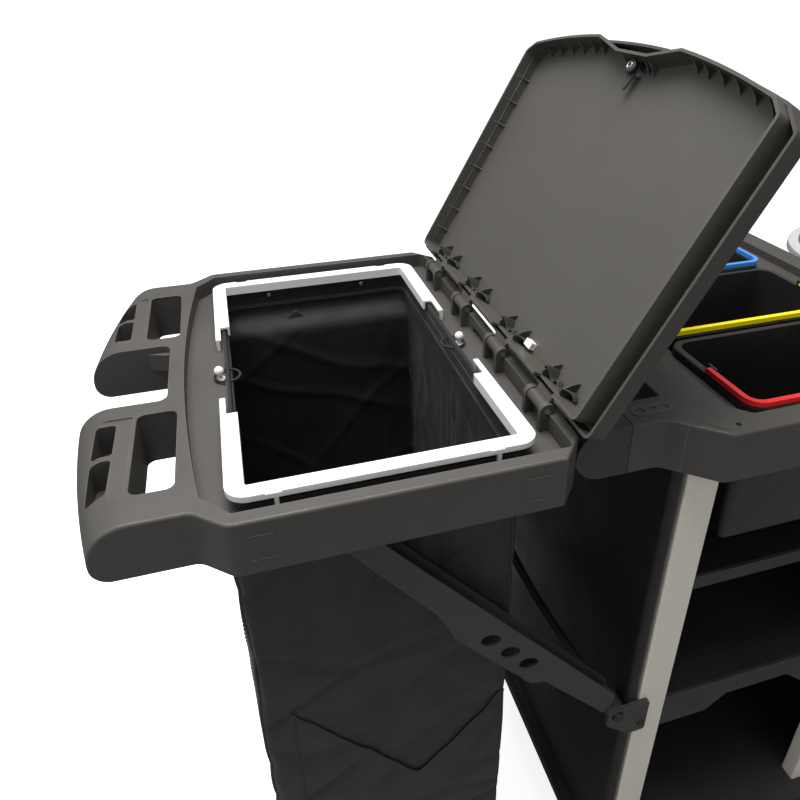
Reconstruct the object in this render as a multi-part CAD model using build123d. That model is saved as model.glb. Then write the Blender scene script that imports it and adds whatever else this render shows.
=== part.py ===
from build123d import *
import math
import os

# Housekeeping cart, millimetres. Modelling datum: x = 0 is the seam between the folding bag
# platform (towards -X) and the body (towards +X), y = 0 is the middle of the width, z = 0 the floor.
# At export every piece moves by -centre_x, so that the origin is the middle of the footprint.

# Overall sizes
top_z = 985             # top of the platform and of the body's top frame
skirt_drop = 58         # depth of the moulded skirts
wall = 4                # moulded walls
running_gap = 0.3       # between faces that move past each other
pin_gap = 0.05          # radial, between a pin and its hole

# Body
body_half_width = 284.6
body_right = 530
neck_half_width = 242.6
neck_inner = 202
seam_x = 58
neck_end_x = 93
flare_end_x = 141.6
flare_radius = 16
body_corner = 34
frame_front_x = 110     # inner edge of the top frame between its two arms
post_x = 128.5
post_width = 42
post_depth = 24
post_face = 250         # outer face of the posts
right_post_x = 470
panel_thickness = 16
bin_window_x = (165, 495)
bin_window_half = 258.5
window_cut = 18         # slant across the corners of the bins' window
ledge_drop = 16
ledge_thickness = 4
ledge_overlap = 4       # how far the bins' rims reach over the ledge
accessory_hole = (156, 270)
accessory_radius = 3
accessory_length = 22
accessory_boss = 7
badge_x, badge_y = 90, 222
badge_size = (46, 18)
badge_pitch = 14
badge_oval = (5.5, 4.5)
hatch_centre = (141.5, 257)
hatch_size = 27
plate_sink = 2          # depth of the pockets that badges and hatch plates sit in
plate_stand = 0.5       # how far the plates stand over the frame's top

# Chassis
wheel_radius = 62.5
wheel_width = 32
caster_height = 160
deck_thickness = 30
deck_x = (100, 868)
deck_half_width = 277
bumper_thickness = 8
caster_x = (178, 776)
caster_y = 212
trail = 35
stem_radius = 8
axle_radius = 6
fork_plate = 3

# Folding platform
platform_half = 270
platform_gap = 1
platform_chamfer = 24.7
step_x = (325, 353)     # where the sides step in to the push handle
step_radius = 16
rim_radius = 3
handle_half = 245
handle_corner_x = 439
handle_reach = 469
nose_x = 400            # the outer bar is solid beyond here
nose_top_radius = 38
nose_bottom_radius = 17
grip_ledge = (-450, -407, 84, 206)  # x and |y| limits of the sunk face round the pockets
grip_ledge_depth = 1.5
pocket_x = (-441, -422)
pocket_reach = 50
pocket_lows = (92, 149)
pocket_depth = 34
rim_width = 15
tray_drop = 20
recess_left = 360
recess_left_corner = 321
recess_right = 12
recess_corner_y = 28    # from the recess's sides to where its bowed end starts
recess_bow_x = 346
rib_x = (-290, -245, -140, -90)
rib_drop = 44
collar_wall = 3
collar_drop = 44
lip_rise = 8
loop_x = (-404, -365)
loop_y = (82, 208)
notch_half = 61
notch_x = -376
fold_x, fold_drop = 29, 29
fold_pin_radius = 8
lug_y = (180, 199)
lug_radius = 20
cap_web = 5             # outer wall of the hinge caps

# Bag ring
ring_x = (-325, -38)
ring_half = 242
ring_top_drop = 5
ring_flange = 17
ring_skin = 2.5
hem_gap = 4             # between the ring's sleeve and the platform's lip, for the bag's hem
ring_depth = 12
ring_rim = 6            # height of the ring's outer rim
ring_foot = 4           # side of the small feet under the ring's long arms and its ends
ring_foot_in = 40
ring_thumb_notch = (7, 1.2)  # radius and depth
ring_tab_y = 67
ring_wide_y = 100
ring_tab_width = 6
ring_notch_x = (-285, -82)
ring_lift = 2.5
ring_pivot_z = top_z - 10

# Pegs and loops
peg_x = (-324, -38)
peg_notch = 22          # half-width of the gap in the lip and hem beside each peg
peg_ball = 5.5
peg_stem = 3
peg_rise = 10.5         # of the ball's middle over the tray
loop_ring = (14, 1.5)

# Bag
bag_wall = 2.2
bag_half = 218
bag_x = (-336, -42)
bag_bottom = 225
bag_neck_drop = 50
bag_fit = 0.4

# Lid
lid_hinge_x, lid_hinge_rise = -14, 3.5
lid_half = 264
lid_side = 315          # distances along the lid run from the hinge axis
lid_bow = 25
lid_corner = (21, 27)
lid_plate = 3
lid_edge_gap = 10       # from the hinge axis to the shell's hinge edge
shell_rim_rise = 4.3    # the shell's rim over the hinge axis, lid closed
liner_edge_gap = 17.3
liner_rim_drop = 7.7    # the liner's rim under the hinge axis, lid closed
liner_half = 249
liner_side = 322
liner_corner = (13, 17)
liner_bow = 27
liner_depth = 25
liner_round = 8
knuckle_notch = 10      # height of the notches over the knuckles
finger_recess = (30, 85)  # |y| where the recess in the liner's free edge is flat, and where it ends
finger_recess_depth = 15
lid_open = 120
knuckle_y = (-180, -61, 61, 180)
knuckle_gap = 30
knuckle_ear = 6
knuckle_radius = 8
barrel_radius = 6.5
barrel_gap = 0.8        # from the lid's barrels to the relief in the platform's rim
lid_pin_radius = 3
lock_reach = 335
lock_radius = 9

# Support brace
brace_x, brace_z = 96, top_z - 452
brace_length = 505
brace_tilt = 40.5       # lean from the vertical, towards -X
brace_y = (224, 249.5)
brace_pin_radius = 5
arm_wall = 3
arm_boss = 13.5
arm_edge = ((-9, 8), (-13, 150), (-24, 164), (-24, 308), (-16, 332), (-10, 357), (-7, 418))
arm_ovals = (196, 232.5, 269.5)
arm_oval = (9, 12.5)
bracket_plate = 6
rivet_drop = 30         # of the rivets under the pivot
rivet_radius = 2.5

# Bins
bin_size = (274, 154)
bin_x = 323
bin_centres = (-177, -17, 143)
bin_depth = 190
bin_wall = 2.5
bin_rim = 10
bin_taper = 3
handle_section = 6
handle_axis_rise = 3.6  # over the bin's rim
bail_radius = 20

# Waste tub
tub_size = (310, 412)
tub_radius = 148
tub_x = 700
tub_wall = 3
tub_rim = 12
tub_taper = 2.2

deck_top = caster_height + deck_thickness
handle_bow = handle_reach - handle_corner_x
bow_radius = (handle_half ** 2 + handle_bow ** 2) / (2 * handle_bow)
left_end = handle_reach - bow_radius + math.sqrt(bow_radius ** 2 - notch_half ** 2)
centre_x = (deck_x[1] + bumper_thickness - left_end) / 2
pieces = {}


def block(x, y, z):
    """A box between two values on each axis."""
    size = [high - low for low, high in (x, y, z)]
    middle = [(low + high) / 2 for low, high in (x, y, z)]
    return Pos(*middle) * Box(*size)


def rod_y(x, z, radius, y):
    """A round bar along Y between two values of y."""
    return Pos(x, (y[0] + y[1]) / 2, z) * Rot(90, 0, 0) * Cylinder(radius, y[1] - y[0])


def rod_x(y, z, radius, x):
    """A round bar along X between two values of x."""
    return Pos((x[0] + x[1]) / 2, y, z) * Rot(0, 90, 0) * Cylinder(radius, x[1] - x[0])


def rod_z(x, y, radius, z):
    """A round bar along Z between two values of z."""
    return Pos(x, y, (z[0] + z[1]) / 2) * Cylinder(radius, z[1] - z[0])


def rounded(x, y, radius):
    """A rounded rectangle between two values on each axis."""
    middle = Pos((x[0] + x[1]) / 2, (y[0] + y[1]) / 2)
    return middle * RectangleRounded(x[1] - x[0], y[1] - y[0], radius)


def raised(face, z):
    """A plan face extruded between two heights."""
    return extrude(Pos(0, 0, z[0]) * face, z[1] - z[0])


def profile(points, y):
    """A side profile of (x, z) points, extruded between two values of y."""
    face = make_face(Polyline(*[(px, 0, pz) for px, pz in points], close=True))
    return Pos(0, y[0], 0) * extrude(face, y[1] - y[0], dir=(0, 1, 0))


# ---------------------------------------------------------------- chassis


def make_base_deck():
    plan = rounded(deck_x, (-deck_half_width, deck_half_width), 45)
    deck = raised(plan, (caster_height, deck_top))
    hollow = raised(offset(plan, -wall * 2), (caster_height, deck_top - wall * 2))
    pads = Sketch() + [
        Pos(x, y) * RectangleRounded(120, 110, 12) for x in caster_x for y in (-caster_y, caster_y)
    ]
    feet = Sketch() + [
        Pos(x + post_width / 2, side * (post_face - post_depth / 2)) * Rectangle(60, 40)
        for x in (post_x, right_post_x) for side in (-1, 1)
    ]
    spine = Pos((deck_x[0] + deck_x[1]) / 2, 0) * Rectangle(deck_x[1] - deck_x[0] - 20, 40)
    deck -= hollow - raised(pads + feet + spine, (caster_height, deck_top))
    well = tub_plan(6)
    deck -= raised(well, (deck_top - 3, deck_top + 1))
    return deck


def make_edge_bumper():
    plan = rounded(deck_x, (-deck_half_width, deck_half_width), 45)
    band = offset(plan, bumper_thickness) - plan
    return raised(band, (caster_height + 6, deck_top - 6))


def make_caster_plates():
    plates = Part()
    for x in caster_x:
        for y in (-caster_y, caster_y):
            plate = block((x - 45, x + 45), (y - 40, y + 40), (caster_height - 5, caster_height))
            stem = rod_z(x, y, stem_radius, (caster_height - 30, caster_height - 5))
            plates += plate + stem
    return plates


def make_fork(x, y):
    crown_z = (caster_height - 24, caster_height - 6)
    side = wheel_width / 2 + 2
    fork = rod_z(x, y, 27, crown_z)
    fork += block((x - 24, x + trail + 36), (y - side - fork_plate, y + side + fork_plate),
                  (crown_z[0], crown_z[0] + 4))
    for sign in (-1, 1):
        inner, outer = sorted((y + sign * side, y + sign * (side + fork_plate)))
        outline = [
            (x - 24, crown_z[0] + 1), (x + trail + 36, crown_z[0] + 1),
            (x + trail + 36, crown_z[0] - 12), (x + trail + 12, wheel_radius - 12),
            (x + trail - 12, wheel_radius - 12), (x - 24, crown_z[0] - 18),
        ]
        fork += profile(outline, (inner, outer))
    fork -= rod_z(x, y, stem_radius + pin_gap, (caster_height - 40, caster_height))
    fork -= rod_y(x + trail, wheel_radius, axle_radius, (y - 40, y + 40))
    fork -= rod_y(x + trail + 28, crown_z[0] - 5, 3, (y - 40, y + 40))
    reach = side + fork_plate + 4
    axle = rod_y(x + trail, wheel_radius, axle_radius - pin_gap, (y - reach, y + reach))
    return fork, axle


def make_wheel(x, y):
    wheel = rod_y(x + trail, wheel_radius, wheel_radius, (y - wheel_width / 2, y + wheel_width / 2))
    wheel = fillet(wheel.edges().filter_by(GeomType.CIRCLE), 6)
    for sign in (-1, 1):
        face = y + sign * wheel_width / 2
        dish = sorted((face, face - sign * 7))
        wheel -= rod_y(x + trail, wheel_radius, 46, dish) - rod_y(x + trail, wheel_radius, 15, dish)
    return wheel - rod_y(x + trail, wheel_radius, axle_radius, (y - 40, y + 40))


def make_pedal(x, y):
    px, pz = x + trail + 28, caster_height - 29
    half = wheel_width / 2 + 2 - running_gap
    pedal = rod_y(px, pz, 5, (y - half, y + half))
    pedal += block((px, px + 46), (y - half, y + half), (pz + 1, pz + 5))
    pin = rod_y(px, pz, 3 - pin_gap, (y - half - fork_plate - 2, y + half + fork_plate + 2))
    return pedal + pin


# ---------------------------------------------------------------- body


def make_post(x, side):
    height = (deck_top, top_z - ledge_drop)
    middle = Pos(x + post_width / 2, side * (post_face - post_depth / 2))
    section = RectangleRounded(post_width, post_depth, 2.5)
    section -= RectangleRounded(post_width - 4, post_depth - 4, 1.5)
    return raised(middle * section, height)


def make_end_panel(x, inwards):
    height = (deck_top, top_z - skirt_drop)
    plan = rounded((x, x + panel_thickness), (-post_face, post_face), panel_thickness / 2 - 0.5)
    panel = raised(plan, height)
    skin = (x + wall, x + panel_thickness) if inwards > 0 else (x, x + panel_thickness - wall)
    pocket = block(skin, (-post_face + 14, post_face - 14), (height[0] + 14, height[1] - 14))
    return panel - pocket


def make_back_panel():
    x = (post_x + post_width, right_post_x)
    y = (post_face - 12, post_face - 6)
    return block(x, y, (deck_top, top_z - ledge_drop))


def shelf_plan():
    inside = (post_x + post_width, right_post_x)
    between = (frame_front_x + panel_thickness, right_post_x + post_width)
    deep = rounded(between, (-post_face + post_depth + 0.5, post_face - post_depth - 0.5), 4)
    front = rounded(inside, (-post_face, 0), 2)
    return deep + front


def make_shelf(top, depth):
    plan = shelf_plan()
    shelf = raised(plan, (top - depth, top))
    floor = raised(offset(plan, -wall), (top - depth + wall, top))
    return shelf - floor


def make_shelf_lower():
    top = top_z - 452
    shelf = make_shelf(top, 19)
    x = (post_x + post_width, right_post_x)
    outline = [
        (x[0], top - 19), (x[1], top - 19), (x[1], top - 58), (x[1] - 70, top - 58),
        (x[1] - 100, top - 33), (x[0] + 100, top - 33), (x[0] + 70, top - 58), (x[0], top - 58),
    ]
    return shelf + profile(outline, (-post_face, -post_face + wall))


def frame_plan():
    half = [
        (seam_x, neck_inner), (seam_x, neck_half_width), (neck_end_x, neck_half_width),
        (flare_end_x, body_half_width), (body_right, body_half_width),
    ]
    points = [(x, -y) for x, y in half] + [(x, y) for x, y in reversed(half)]
    points += [(frame_front_x, neck_inner), (frame_front_x, -neck_inner)]
    face = make_face(Polyline(*points, close=True))
    face = fillet([v for v in face.vertices() if abs(v.X - body_right) < 1], body_corner)
    outer = [v for v in face.vertices() if abs(v.Y) > neck_inner + 1]
    return fillet([v for v in outer if neck_end_x - 1 < v.X < flare_end_x + 1], flare_radius)


def window_plan(grow):
    x0, x1 = bin_window_x[0] - grow, bin_window_x[1] + grow
    half, cut = bin_window_half + grow, window_cut
    points = [
        (x0, half - cut), (x0 + cut, half), (x1 - cut, half), (x1, half - cut),
        (x1, cut - half), (x1 - cut, -half), (x0 + cut, -half), (x0, cut - half),
    ]
    return make_face(Polyline(*points, close=True))


def ledge_hole():
    low = bin_centres[0] - bin_size[1] / 2 + ledge_overlap
    high = bin_centres[-1] + bin_size[1] / 2 - ledge_overlap
    reach = bin_size[0] / 2 - ledge_overlap
    return rounded((bin_x - reach, bin_x + reach), (low, high), 14)


def make_top_frame():
    plan = frame_plan()
    frame = raised(plan, (top_z - skirt_drop, top_z))
    rim = [e for e in frame.edges().group_by(Axis.Z)[-1] if e.center().X > seam_x + 1]
    frame = fillet(rim, 2.5)
    frame -= raised(offset(plan, -wall), (top_z - skirt_drop, top_z - wall))
    ledge = (top_z - ledge_drop, top_z - ledge_drop + ledge_thickness)
    frame += raised(window_plan(wall), (ledge[0], top_z - wall))
    frame -= raised(window_plan(0), (ledge[1], top_z + 1))
    frame -= raised(ledge_hole(), (top_z - skirt_drop, top_z))
    for side in (-1, 1):
        place = (accessory_hole[0], side * accessory_hole[1])
        frame += rod_z(*place, accessory_boss, (top_z - accessory_length, top_z - wall))
        frame -= rod_z(*place, accessory_radius, (top_z - accessory_length - 1, top_z + 1))
        frame -= raised(badge_plan(side, 0), (top_z - plate_sink, top_z + 1))
        frame -= raised(hatch_plan(side, running_gap), (top_z - plate_sink, top_z + 1))
    return frame


def arm_space(side):
    y = sorted((side * (neck_inner - 1), side * (body_half_width + 1)))
    return block((seam_x - 1, frame_front_x), y, (top_z - skirt_drop - 1, top_z + 1))


def badge_plan(side, inset):
    length, width = (size - 2 * inset for size in badge_size)
    return Pos(badge_x, side * badge_y) * RectangleRounded(length, width, width / 2 - 0.1)


def hatch_plan(side, grow):
    size = hatch_size + 2 * grow
    place = Pos(hatch_centre[0], side * hatch_centre[1]) * Rot(0, 0, 45)
    return place * RectangleRounded(size, size, 2)


def make_arm_badges():
    badges = Part()
    for side in (-1, 1):
        plate = raised(badge_plan(side, running_gap), (top_z - plate_sink, top_z + plate_stand))
        for step in (-1, 0, 1):
            dot = Pos(badge_x + step * badge_pitch, side * badge_y) * Ellipse(*badge_oval)
            plate -= raised(dot, (top_z - plate_stand, top_z + 1))
        badges += plate
    return badges


def make_hatch_plates():
    plates = Part()
    for side in (-1, 1):
        plates += raised(hatch_plan(side, 0), (top_z - plate_sink, top_z + plate_stand))
    return plates


def make_hinge_cap(side):
    y = sorted((side * neck_inner, side * neck_half_width))
    z = top_z - fold_drop
    cap = rod_y(fold_x, z, fold_drop, y) + block((fold_x, seam_x), y, (top_z - skirt_drop, top_z))
    bore = sorted((side * (neck_inner - 1), side * (neck_half_width - cap_web)))
    return cap - rod_y(fold_x, z, fold_pin_radius, bore)


def make_fold_pins():
    pins = Part()
    for side in (-1, 1):
        y = sorted((side * (neck_half_width - cap_web), side * (lug_y[0] - 3)))
        pins += rod_y(fold_x, top_z - fold_drop, fold_pin_radius - pin_gap, y)
    return pins


# ---------------------------------------------------------------- platform


def platform_plan(inset):
    side = [
        (-platform_gap, neck_half_width), (-platform_chamfer, platform_half),
        (-step_x[0], platform_half), (-step_x[1], handle_half), (-handle_corner_x, handle_half),
    ]
    near = Polyline(*[(x, -y) for x, y in side])
    far = Polyline(*side)
    bow = ThreePointArc((-handle_corner_x, -handle_half), (-handle_reach, 0), (-handle_corner_x, handle_half))
    back = Line((-platform_gap, -neck_half_width), (-platform_gap, neck_half_width))
    face = make_face([*near.edges(), *bow.edges(), *far.edges(), *back.edges()])
    return offset(face, -inset, kind=Kind.INTERSECTION) if inset else face


def moulding(inset, z, radius):
    """The platform's outline as a block, its side steps rounded."""
    body = raised(platform_plan(inset), z)
    uprights = body.edges().filter_by(Axis.Z)
    steps = [e for e in uprights if -step_x[1] - 5 < e.center().X < -step_x[0] + 5]
    return fillet(steps, radius)


def notch_block(grow, z):
    plan = rounded((notch_x - grow - 120, notch_x + grow), (-notch_half - grow, notch_half + grow), 10 + grow)
    return raised(plan, z)


def recess_plan(grow):
    x1, x0, xc = -recess_right + grow, -recess_left - grow, -recess_left_corner
    half = platform_half - rim_width + grow
    bow_x, bow_y = -recess_bow_x - grow, half - recess_corner_y
    arc = ThreePointArc((bow_x, -bow_y), (x0, 0), (bow_x, bow_y))
    ends = Polyline((bow_x, bow_y), (xc, half), (x1, half), (x1, -half), (xc, -half), (bow_x, -bow_y))
    face = make_face([*arc.edges(), *ends.edges()])
    return fillet([v for v in face.vertices() if v.X > -100], 6 + grow)


def mouth_inset():
    return ring_flange - ring_skin - hem_gap


def mouth_half():
    return ring_half - mouth_inset()


def mouth_plan(grow):
    face = rounded(ring_x, (-ring_half, ring_half), 20)
    return offset(face, grow - mouth_inset())


def loop_plan(side, grow):
    y = sorted((side * (loop_y[0] - grow), side * (loop_y[1] + grow)))
    return rounded((loop_x[0] - grow, loop_x[1] + grow), y, 9 + grow)


def pocket_plans(side):
    plans = []
    for low in pocket_lows:
        y = sorted((side * low, side * (low + pocket_reach)))
        plans.append(rounded(pocket_x, y, 4))
    return plans


def side_edges(frame):
    """The long top edges of the two sides, from the body's end to the nose."""
    top = [e for e in frame.edges() if abs(e.center().Z - top_z) < 0.5]
    return [e for e in top if abs(e.center().Y) > handle_half - 1]


def make_platform_frame():
    bottom, floor = top_z - skirt_drop, top_z - tray_drop
    frame = moulding(0, (bottom, top_z), step_radius)
    ends = frame.edges().group_by(Axis.Z)
    frame = fillet([e for e in ends[-1] if e.center().X < -nose_x], nose_top_radius)
    ends = frame.edges().group_by(Axis.Z)
    frame = fillet([e for e in ends[0] if e.center().X < -nose_x], nose_bottom_radius)
    frame = fillet(side_edges(frame), rim_radius)
    frame -= notch_block(0, (bottom - 1, top_z + 1))
    solid_walls = notch_block(wall, (bottom, top_z)) + block((-500, -nose_x), (-300, 300), (bottom, top_z))
    for side in (-1, 1):
        solid_walls += raised(loop_plan(side, wall), (bottom, top_z))
    tray_under = raised(recess_plan(wall), (floor - wall, top_z))
    hollow = moulding(wall, (bottom - 1, top_z - wall), 12)
    frame -= hollow - solid_walls - tray_under
    frame -= raised(recess_plan(0), (floor, top_z + 1))
    frame += raised(mouth_plan(collar_wall), (top_z - collar_drop, floor + lip_rise))
    frame -= peg_gap((floor, floor + lip_rise + 1))
    for x in rib_x:
        for side in (-1, 1):
            y = sorted((side * (mouth_half() + 1), side * (platform_half - wall + 1)))
            frame += block((x - 1.5, x + 1.5), y, (top_z - rib_drop, floor - wall + 1))
    for side in (-1, 1):
        y = sorted((side * lug_y[0], side * lug_y[1]))
        z = top_z - fold_drop
        frame += rod_y(fold_x, z, lug_radius, y)
        frame += block((-platform_gap - wall, fold_x), y, (z - lug_radius, z + lug_radius))
        frame -= rod_y(fold_x, z, fold_pin_radius, (y[0] - 1, y[1] + 1))
        frame -= raised(loop_plan(side, 0), (bottom - 1, top_z + 1))
        low, high = sorted((side * grip_ledge[2], side * grip_ledge[3]))
        frame -= block(grip_ledge[:2], (low, high), (top_z - grip_ledge_depth, top_z + 1))
        for plan in pocket_plans(side):
            frame -= raised(plan, (top_z - pocket_depth, top_z + 1))
    frame -= raised(mouth_plan(0), (bottom - 1, top_z + 1))
    for y in knuckle_y:
        span = (y - knuckle_gap / 2, y + knuckle_gap / 2)
        frame -= rod_y(lid_hinge_x, top_z + lid_hinge_rise, barrel_radius + barrel_gap, span)
        for sign in (-1, 1):
            frame += make_ear(y + sign * (knuckle_gap + knuckle_ear) / 2)
    return frame


def make_ear(y):
    half = knuckle_ear / 2
    ear = rod_y(lid_hinge_x, top_z + lid_hinge_rise, knuckle_radius, (y - half, y + half))
    ear += block((lid_hinge_x - knuckle_radius, lid_hinge_x + knuckle_radius), (y - half, y + half),
                 (top_z - tray_drop - 1, top_z + lid_hinge_rise))
    return ear - rod_y(lid_hinge_x, top_z + lid_hinge_rise, lid_pin_radius, (y - 9, y + 9))


def make_brace_catches():
    catches = Part()
    tip_x = brace_x - brace_length * math.sin(math.radians(brace_tilt))
    tip_z = brace_z + brace_length * math.cos(math.radians(brace_tilt))
    for side in (-1, 1):
        y = sorted((side * (ring_half - 6), side * (brace_y[1] - 1)))
        z = (tip_z + 26, top_z - tray_drop - wall)
        catches += block((tip_x - 8, tip_x + 34), y, z)
    return catches


# ---------------------------------------------------------------- bag ring, pegs and bag


def peg_gap(z):
    return block((-recess_left, 0), (-peg_notch, peg_notch), z) - block(
        (-recess_left + 60, lid_hinge_x - 60), (-600, 600), z)


def half_plane(side, y):
    return block((-600, 600), sorted((side * y, side * 600)), (0, 2000))


def make_ring(side, tilt):
    top = top_z - ring_top_drop
    outer = rounded(ring_x, (-ring_half, ring_half), 20)
    inner = offset(outer, -ring_flange)
    skin = offset(outer, -ring_flange + ring_skin)
    flange = raised(outer, (top - ring_skin, top)) - raised(inner, (top - 20, top + 1))
    foot = top_z - tray_drop + running_gap
    rim = raised(outer, (top - ring_rim, top)) - raised(offset(outer, -ring_skin), (top - 20, top + 1))
    sleeve = raised(skin, (top - ring_depth, top)) - raised(inner, (top - 60, top + 1))
    ring = (flange + rim + sleeve) & half_plane(side, ring_tab_y)
    for x in (ring_x[0] + ring_foot_in, ring_x[1] - ring_foot_in - ring_foot):
        y = sorted((side * ring_half, side * (ring_half - ring_foot)))
        ring += block((x, x + ring_foot), y, (foot, top - ring_skin + 0.5))
    for x in (ring_x[0], ring_x[1] - ring_foot):
        y = sorted((side * ring_tab_y, side * (ring_tab_y + ring_foot)))
        ring += block((x, x + ring_foot), y, (foot, top - ring_skin + 0.5))
    narrow = block((ring_x[0] + ring_tab_width, ring_x[1] - ring_tab_width), (-600, 600), (0, 2000))
    ring -= block((-600, 600), sorted((side * ring_tab_y, side * ring_wide_y)), (0, 2000)) & narrow
    for x in ring_notch_x:
        ring -= rod_z(x, side * ring_half, ring_thumb_notch[0], (top - ring_thumb_notch[1], top + 1))
    if tilt:
        ring = ring.rotate(Axis((0, side * ring_tab_y, ring_pivot_z), (1, 0, 0)), side * tilt)
    return ring


def make_pegs():
    pegs = Part()
    floor = top_z - tray_drop
    for x in peg_x:
        pegs += rod_z(x, 0, 2 * peg_stem, (floor, floor + 1))
        pegs += rod_z(x, 0, peg_stem, (floor, floor + peg_rise))
        pegs += Pos(x, 0, floor + peg_rise) * Sphere(peg_ball)
    return pegs


def make_loops():
    loops = Part()
    z = top_z - tray_drop + 3
    for x, way in zip(peg_x, (1, -1)):
        loops += Pos(x + way * (loop_ring[0] - peg_ball), 0, z) * Torus(*loop_ring)
    return loops


def make_bag():
    lip = top_z - tray_drop + lip_rise
    shoulder = top_z - bag_neck_drop
    neck = mouth_plan(-bag_fit)
    body = rounded(bag_x, (-bag_half, bag_half), 22)
    neck_inside = offset(neck, -bag_wall)
    body_inside = offset(body, -bag_wall)
    hem = raised(mouth_plan(collar_wall + bag_fit), (lip + bag_fit, lip + bag_fit + bag_wall))
    bag = hem + raised(neck, (shoulder, lip + bag_fit + bag_wall)) + raised(body, (bag_bottom, shoulder))
    bag -= raised(neck_inside, (shoulder + bag_wall, lip + 20))
    bag -= raised(neck_inside & body_inside, (shoulder - bag_wall - 1, shoulder + bag_wall + 1))
    bag -= raised(body_inside, (bag_bottom + bag_wall, shoulder - bag_wall))
    return bag - peg_gap((top_z - tray_drop - 2, top_z))


# ---------------------------------------------------------------- lid, drawn closed and then opened


def opened(shape):
    axis = Axis((lid_hinge_x, 0, top_z + lid_hinge_rise), (0, 1, 0))
    return shape.rotate(axis, lid_open)


def lid_plan(near, side, half, corner, bow):
    """Outline from the hinge edge to a bowed free edge; distances run from the hinge axis."""
    x0, x1 = lid_hinge_x - near, lid_hinge_x - side
    x2, y2 = x1 - corner[0], half - corner[1]
    bowed = ThreePointArc((x2, -y2), (x2 - bow, 0), (x2, y2))
    rest = Polyline((x2, y2), (x1, half), (x0, half), (x0, -half), (x1, -half), (x2, -y2))
    return make_face([*bowed.edges(), *rest.edges()])


def finger_recess_plan():
    flat, end = finger_recess
    free = lid_hinge_x - liner_side - liner_corner[0] - liner_bow
    back = free + finger_recess_depth
    return make_face(Polyline((free - 40, -end - 10), (free, -end - 10), (back, -flat), (back, flat),
                              (free, end + 10), (free - 40, end + 10), close=True))


def lid_block(plan, z, radius):
    body = raised(plan, z)
    return fillet(body.edges().filter_by(Axis.Z), radius)


def shell_plan():
    return lid_plan(lid_edge_gap, lid_side, lid_half, lid_corner, lid_bow)


def liner_plan():
    face = lid_plan(liner_edge_gap, liner_side, liner_half, liner_corner, liner_bow)
    return face - finger_recess_plan()


def liner_top():
    return top_z + lid_hinge_rise - liner_rim_drop + liner_depth + lid_plate


def make_lid_shell():
    z = (top_z + lid_hinge_rise + shell_rim_rise, liner_top() + lid_plate)
    shell = lid_block(shell_plan(), z, 8)
    shell = fillet(shell.edges().group_by(Axis.Z)[-1], 2.5)
    inside = offset(shell_plan(), -lid_plate, kind=Kind.INTERSECTION)
    shell -= lid_block(inside, (z[0] - 1, z[1] - lid_plate), 5)
    axis_z = top_z + lid_hinge_rise
    for y in knuckle_y:
        half = knuckle_gap / 2 - running_gap
        back = lid_hinge_x - lid_edge_gap - lid_plate
        span = (y - half, y + half)
        shell += block((back, lid_hinge_x), span, (axis_z, axis_z + barrel_radius))
        shell += block((back, back + lid_plate), span, (axis_z, z[1] - lid_plate))
        shell += rod_y(lid_hinge_x, axis_z, barrel_radius, (y - half, y + half))
        shell -= rod_y(lid_hinge_x, axis_z, lid_pin_radius + pin_gap, (y - half - 1, y + half + 1))
    shell -= lid_block(liner_plan(), (top_z - 60, liner_top()), liner_round)
    return opened(shell - lock_hole())


def lock_hole():
    return rod_z(lid_hinge_x - lock_reach, 0, lock_radius, (top_z - 30, top_z + 60))


def make_lid_liner():
    top = liner_top()
    body = lid_block(liner_plan(), (top - lid_plate - liner_depth, top), liner_round)
    pan = offset(liner_plan(), -lid_plate, kind=Kind.INTERSECTION)
    body -= lid_block(pan, (top_z - 60, top - lid_plate), liner_round - lid_plate)
    edge = (lid_hinge_x - liner_edge_gap - lid_plate - 1, lid_hinge_x)
    rim = top_z + lid_hinge_rise - liner_rim_drop
    for y in knuckle_y:
        reach = knuckle_gap / 2 + knuckle_ear + 1
        body -= block(edge, (y - reach, y + reach), (top_z - 60, rim + knuckle_notch))
    return opened(body - lock_hole())


def make_lid_pins():
    pins = Part()
    for y in knuckle_y:
        reach = knuckle_gap / 2 + knuckle_ear + 1
        pins += rod_y(lid_hinge_x, top_z + lid_hinge_rise, lid_pin_radius - pin_gap, (y - reach, y + reach))
    return pins


def lock_cam_top():
    return liner_top() - lid_plate - 9


def make_lock_cylinder():
    x = lid_hinge_x - lock_reach
    top = liner_top() + lid_plate
    barrel = rod_z(x, 0, lock_radius - pin_gap, (lock_cam_top(), top))
    barrel += rod_z(x, 0, lock_radius + 2, (top, top + 2))
    barrel -= Pos(x, 0, top + 2) * Box(1.6, 8, 6)
    return opened(barrel)


def make_lock_cam():
    x = lid_hinge_x - lock_reach
    z = (lock_cam_top() - 2.4, lock_cam_top())
    pear = make_hull((Pos(x, 0) * Circle(8)).edges() + (Pos(x + 20, 0) * Circle(4.5)).edges())
    return opened(raised(pear, z))


def make_lid_clip():
    under = liner_top() - lid_plate
    x = lid_hinge_x - liner_edge_gap - 11
    clip = block((x - 4, x + 4), (-104, -90), (under - 7, under))
    clip -= rod_y(x, under - 3.5, 1.6, (-110, -80))
    return opened(clip)


# ---------------------------------------------------------------- support brace


def on_arm(shape):
    """From the arm's own axes, pivot at the origin and length along Z, to its place on the cart."""
    return Pos(brace_x, 0, brace_z) * Rot(0, -brace_tilt, 0) * shape


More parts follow.
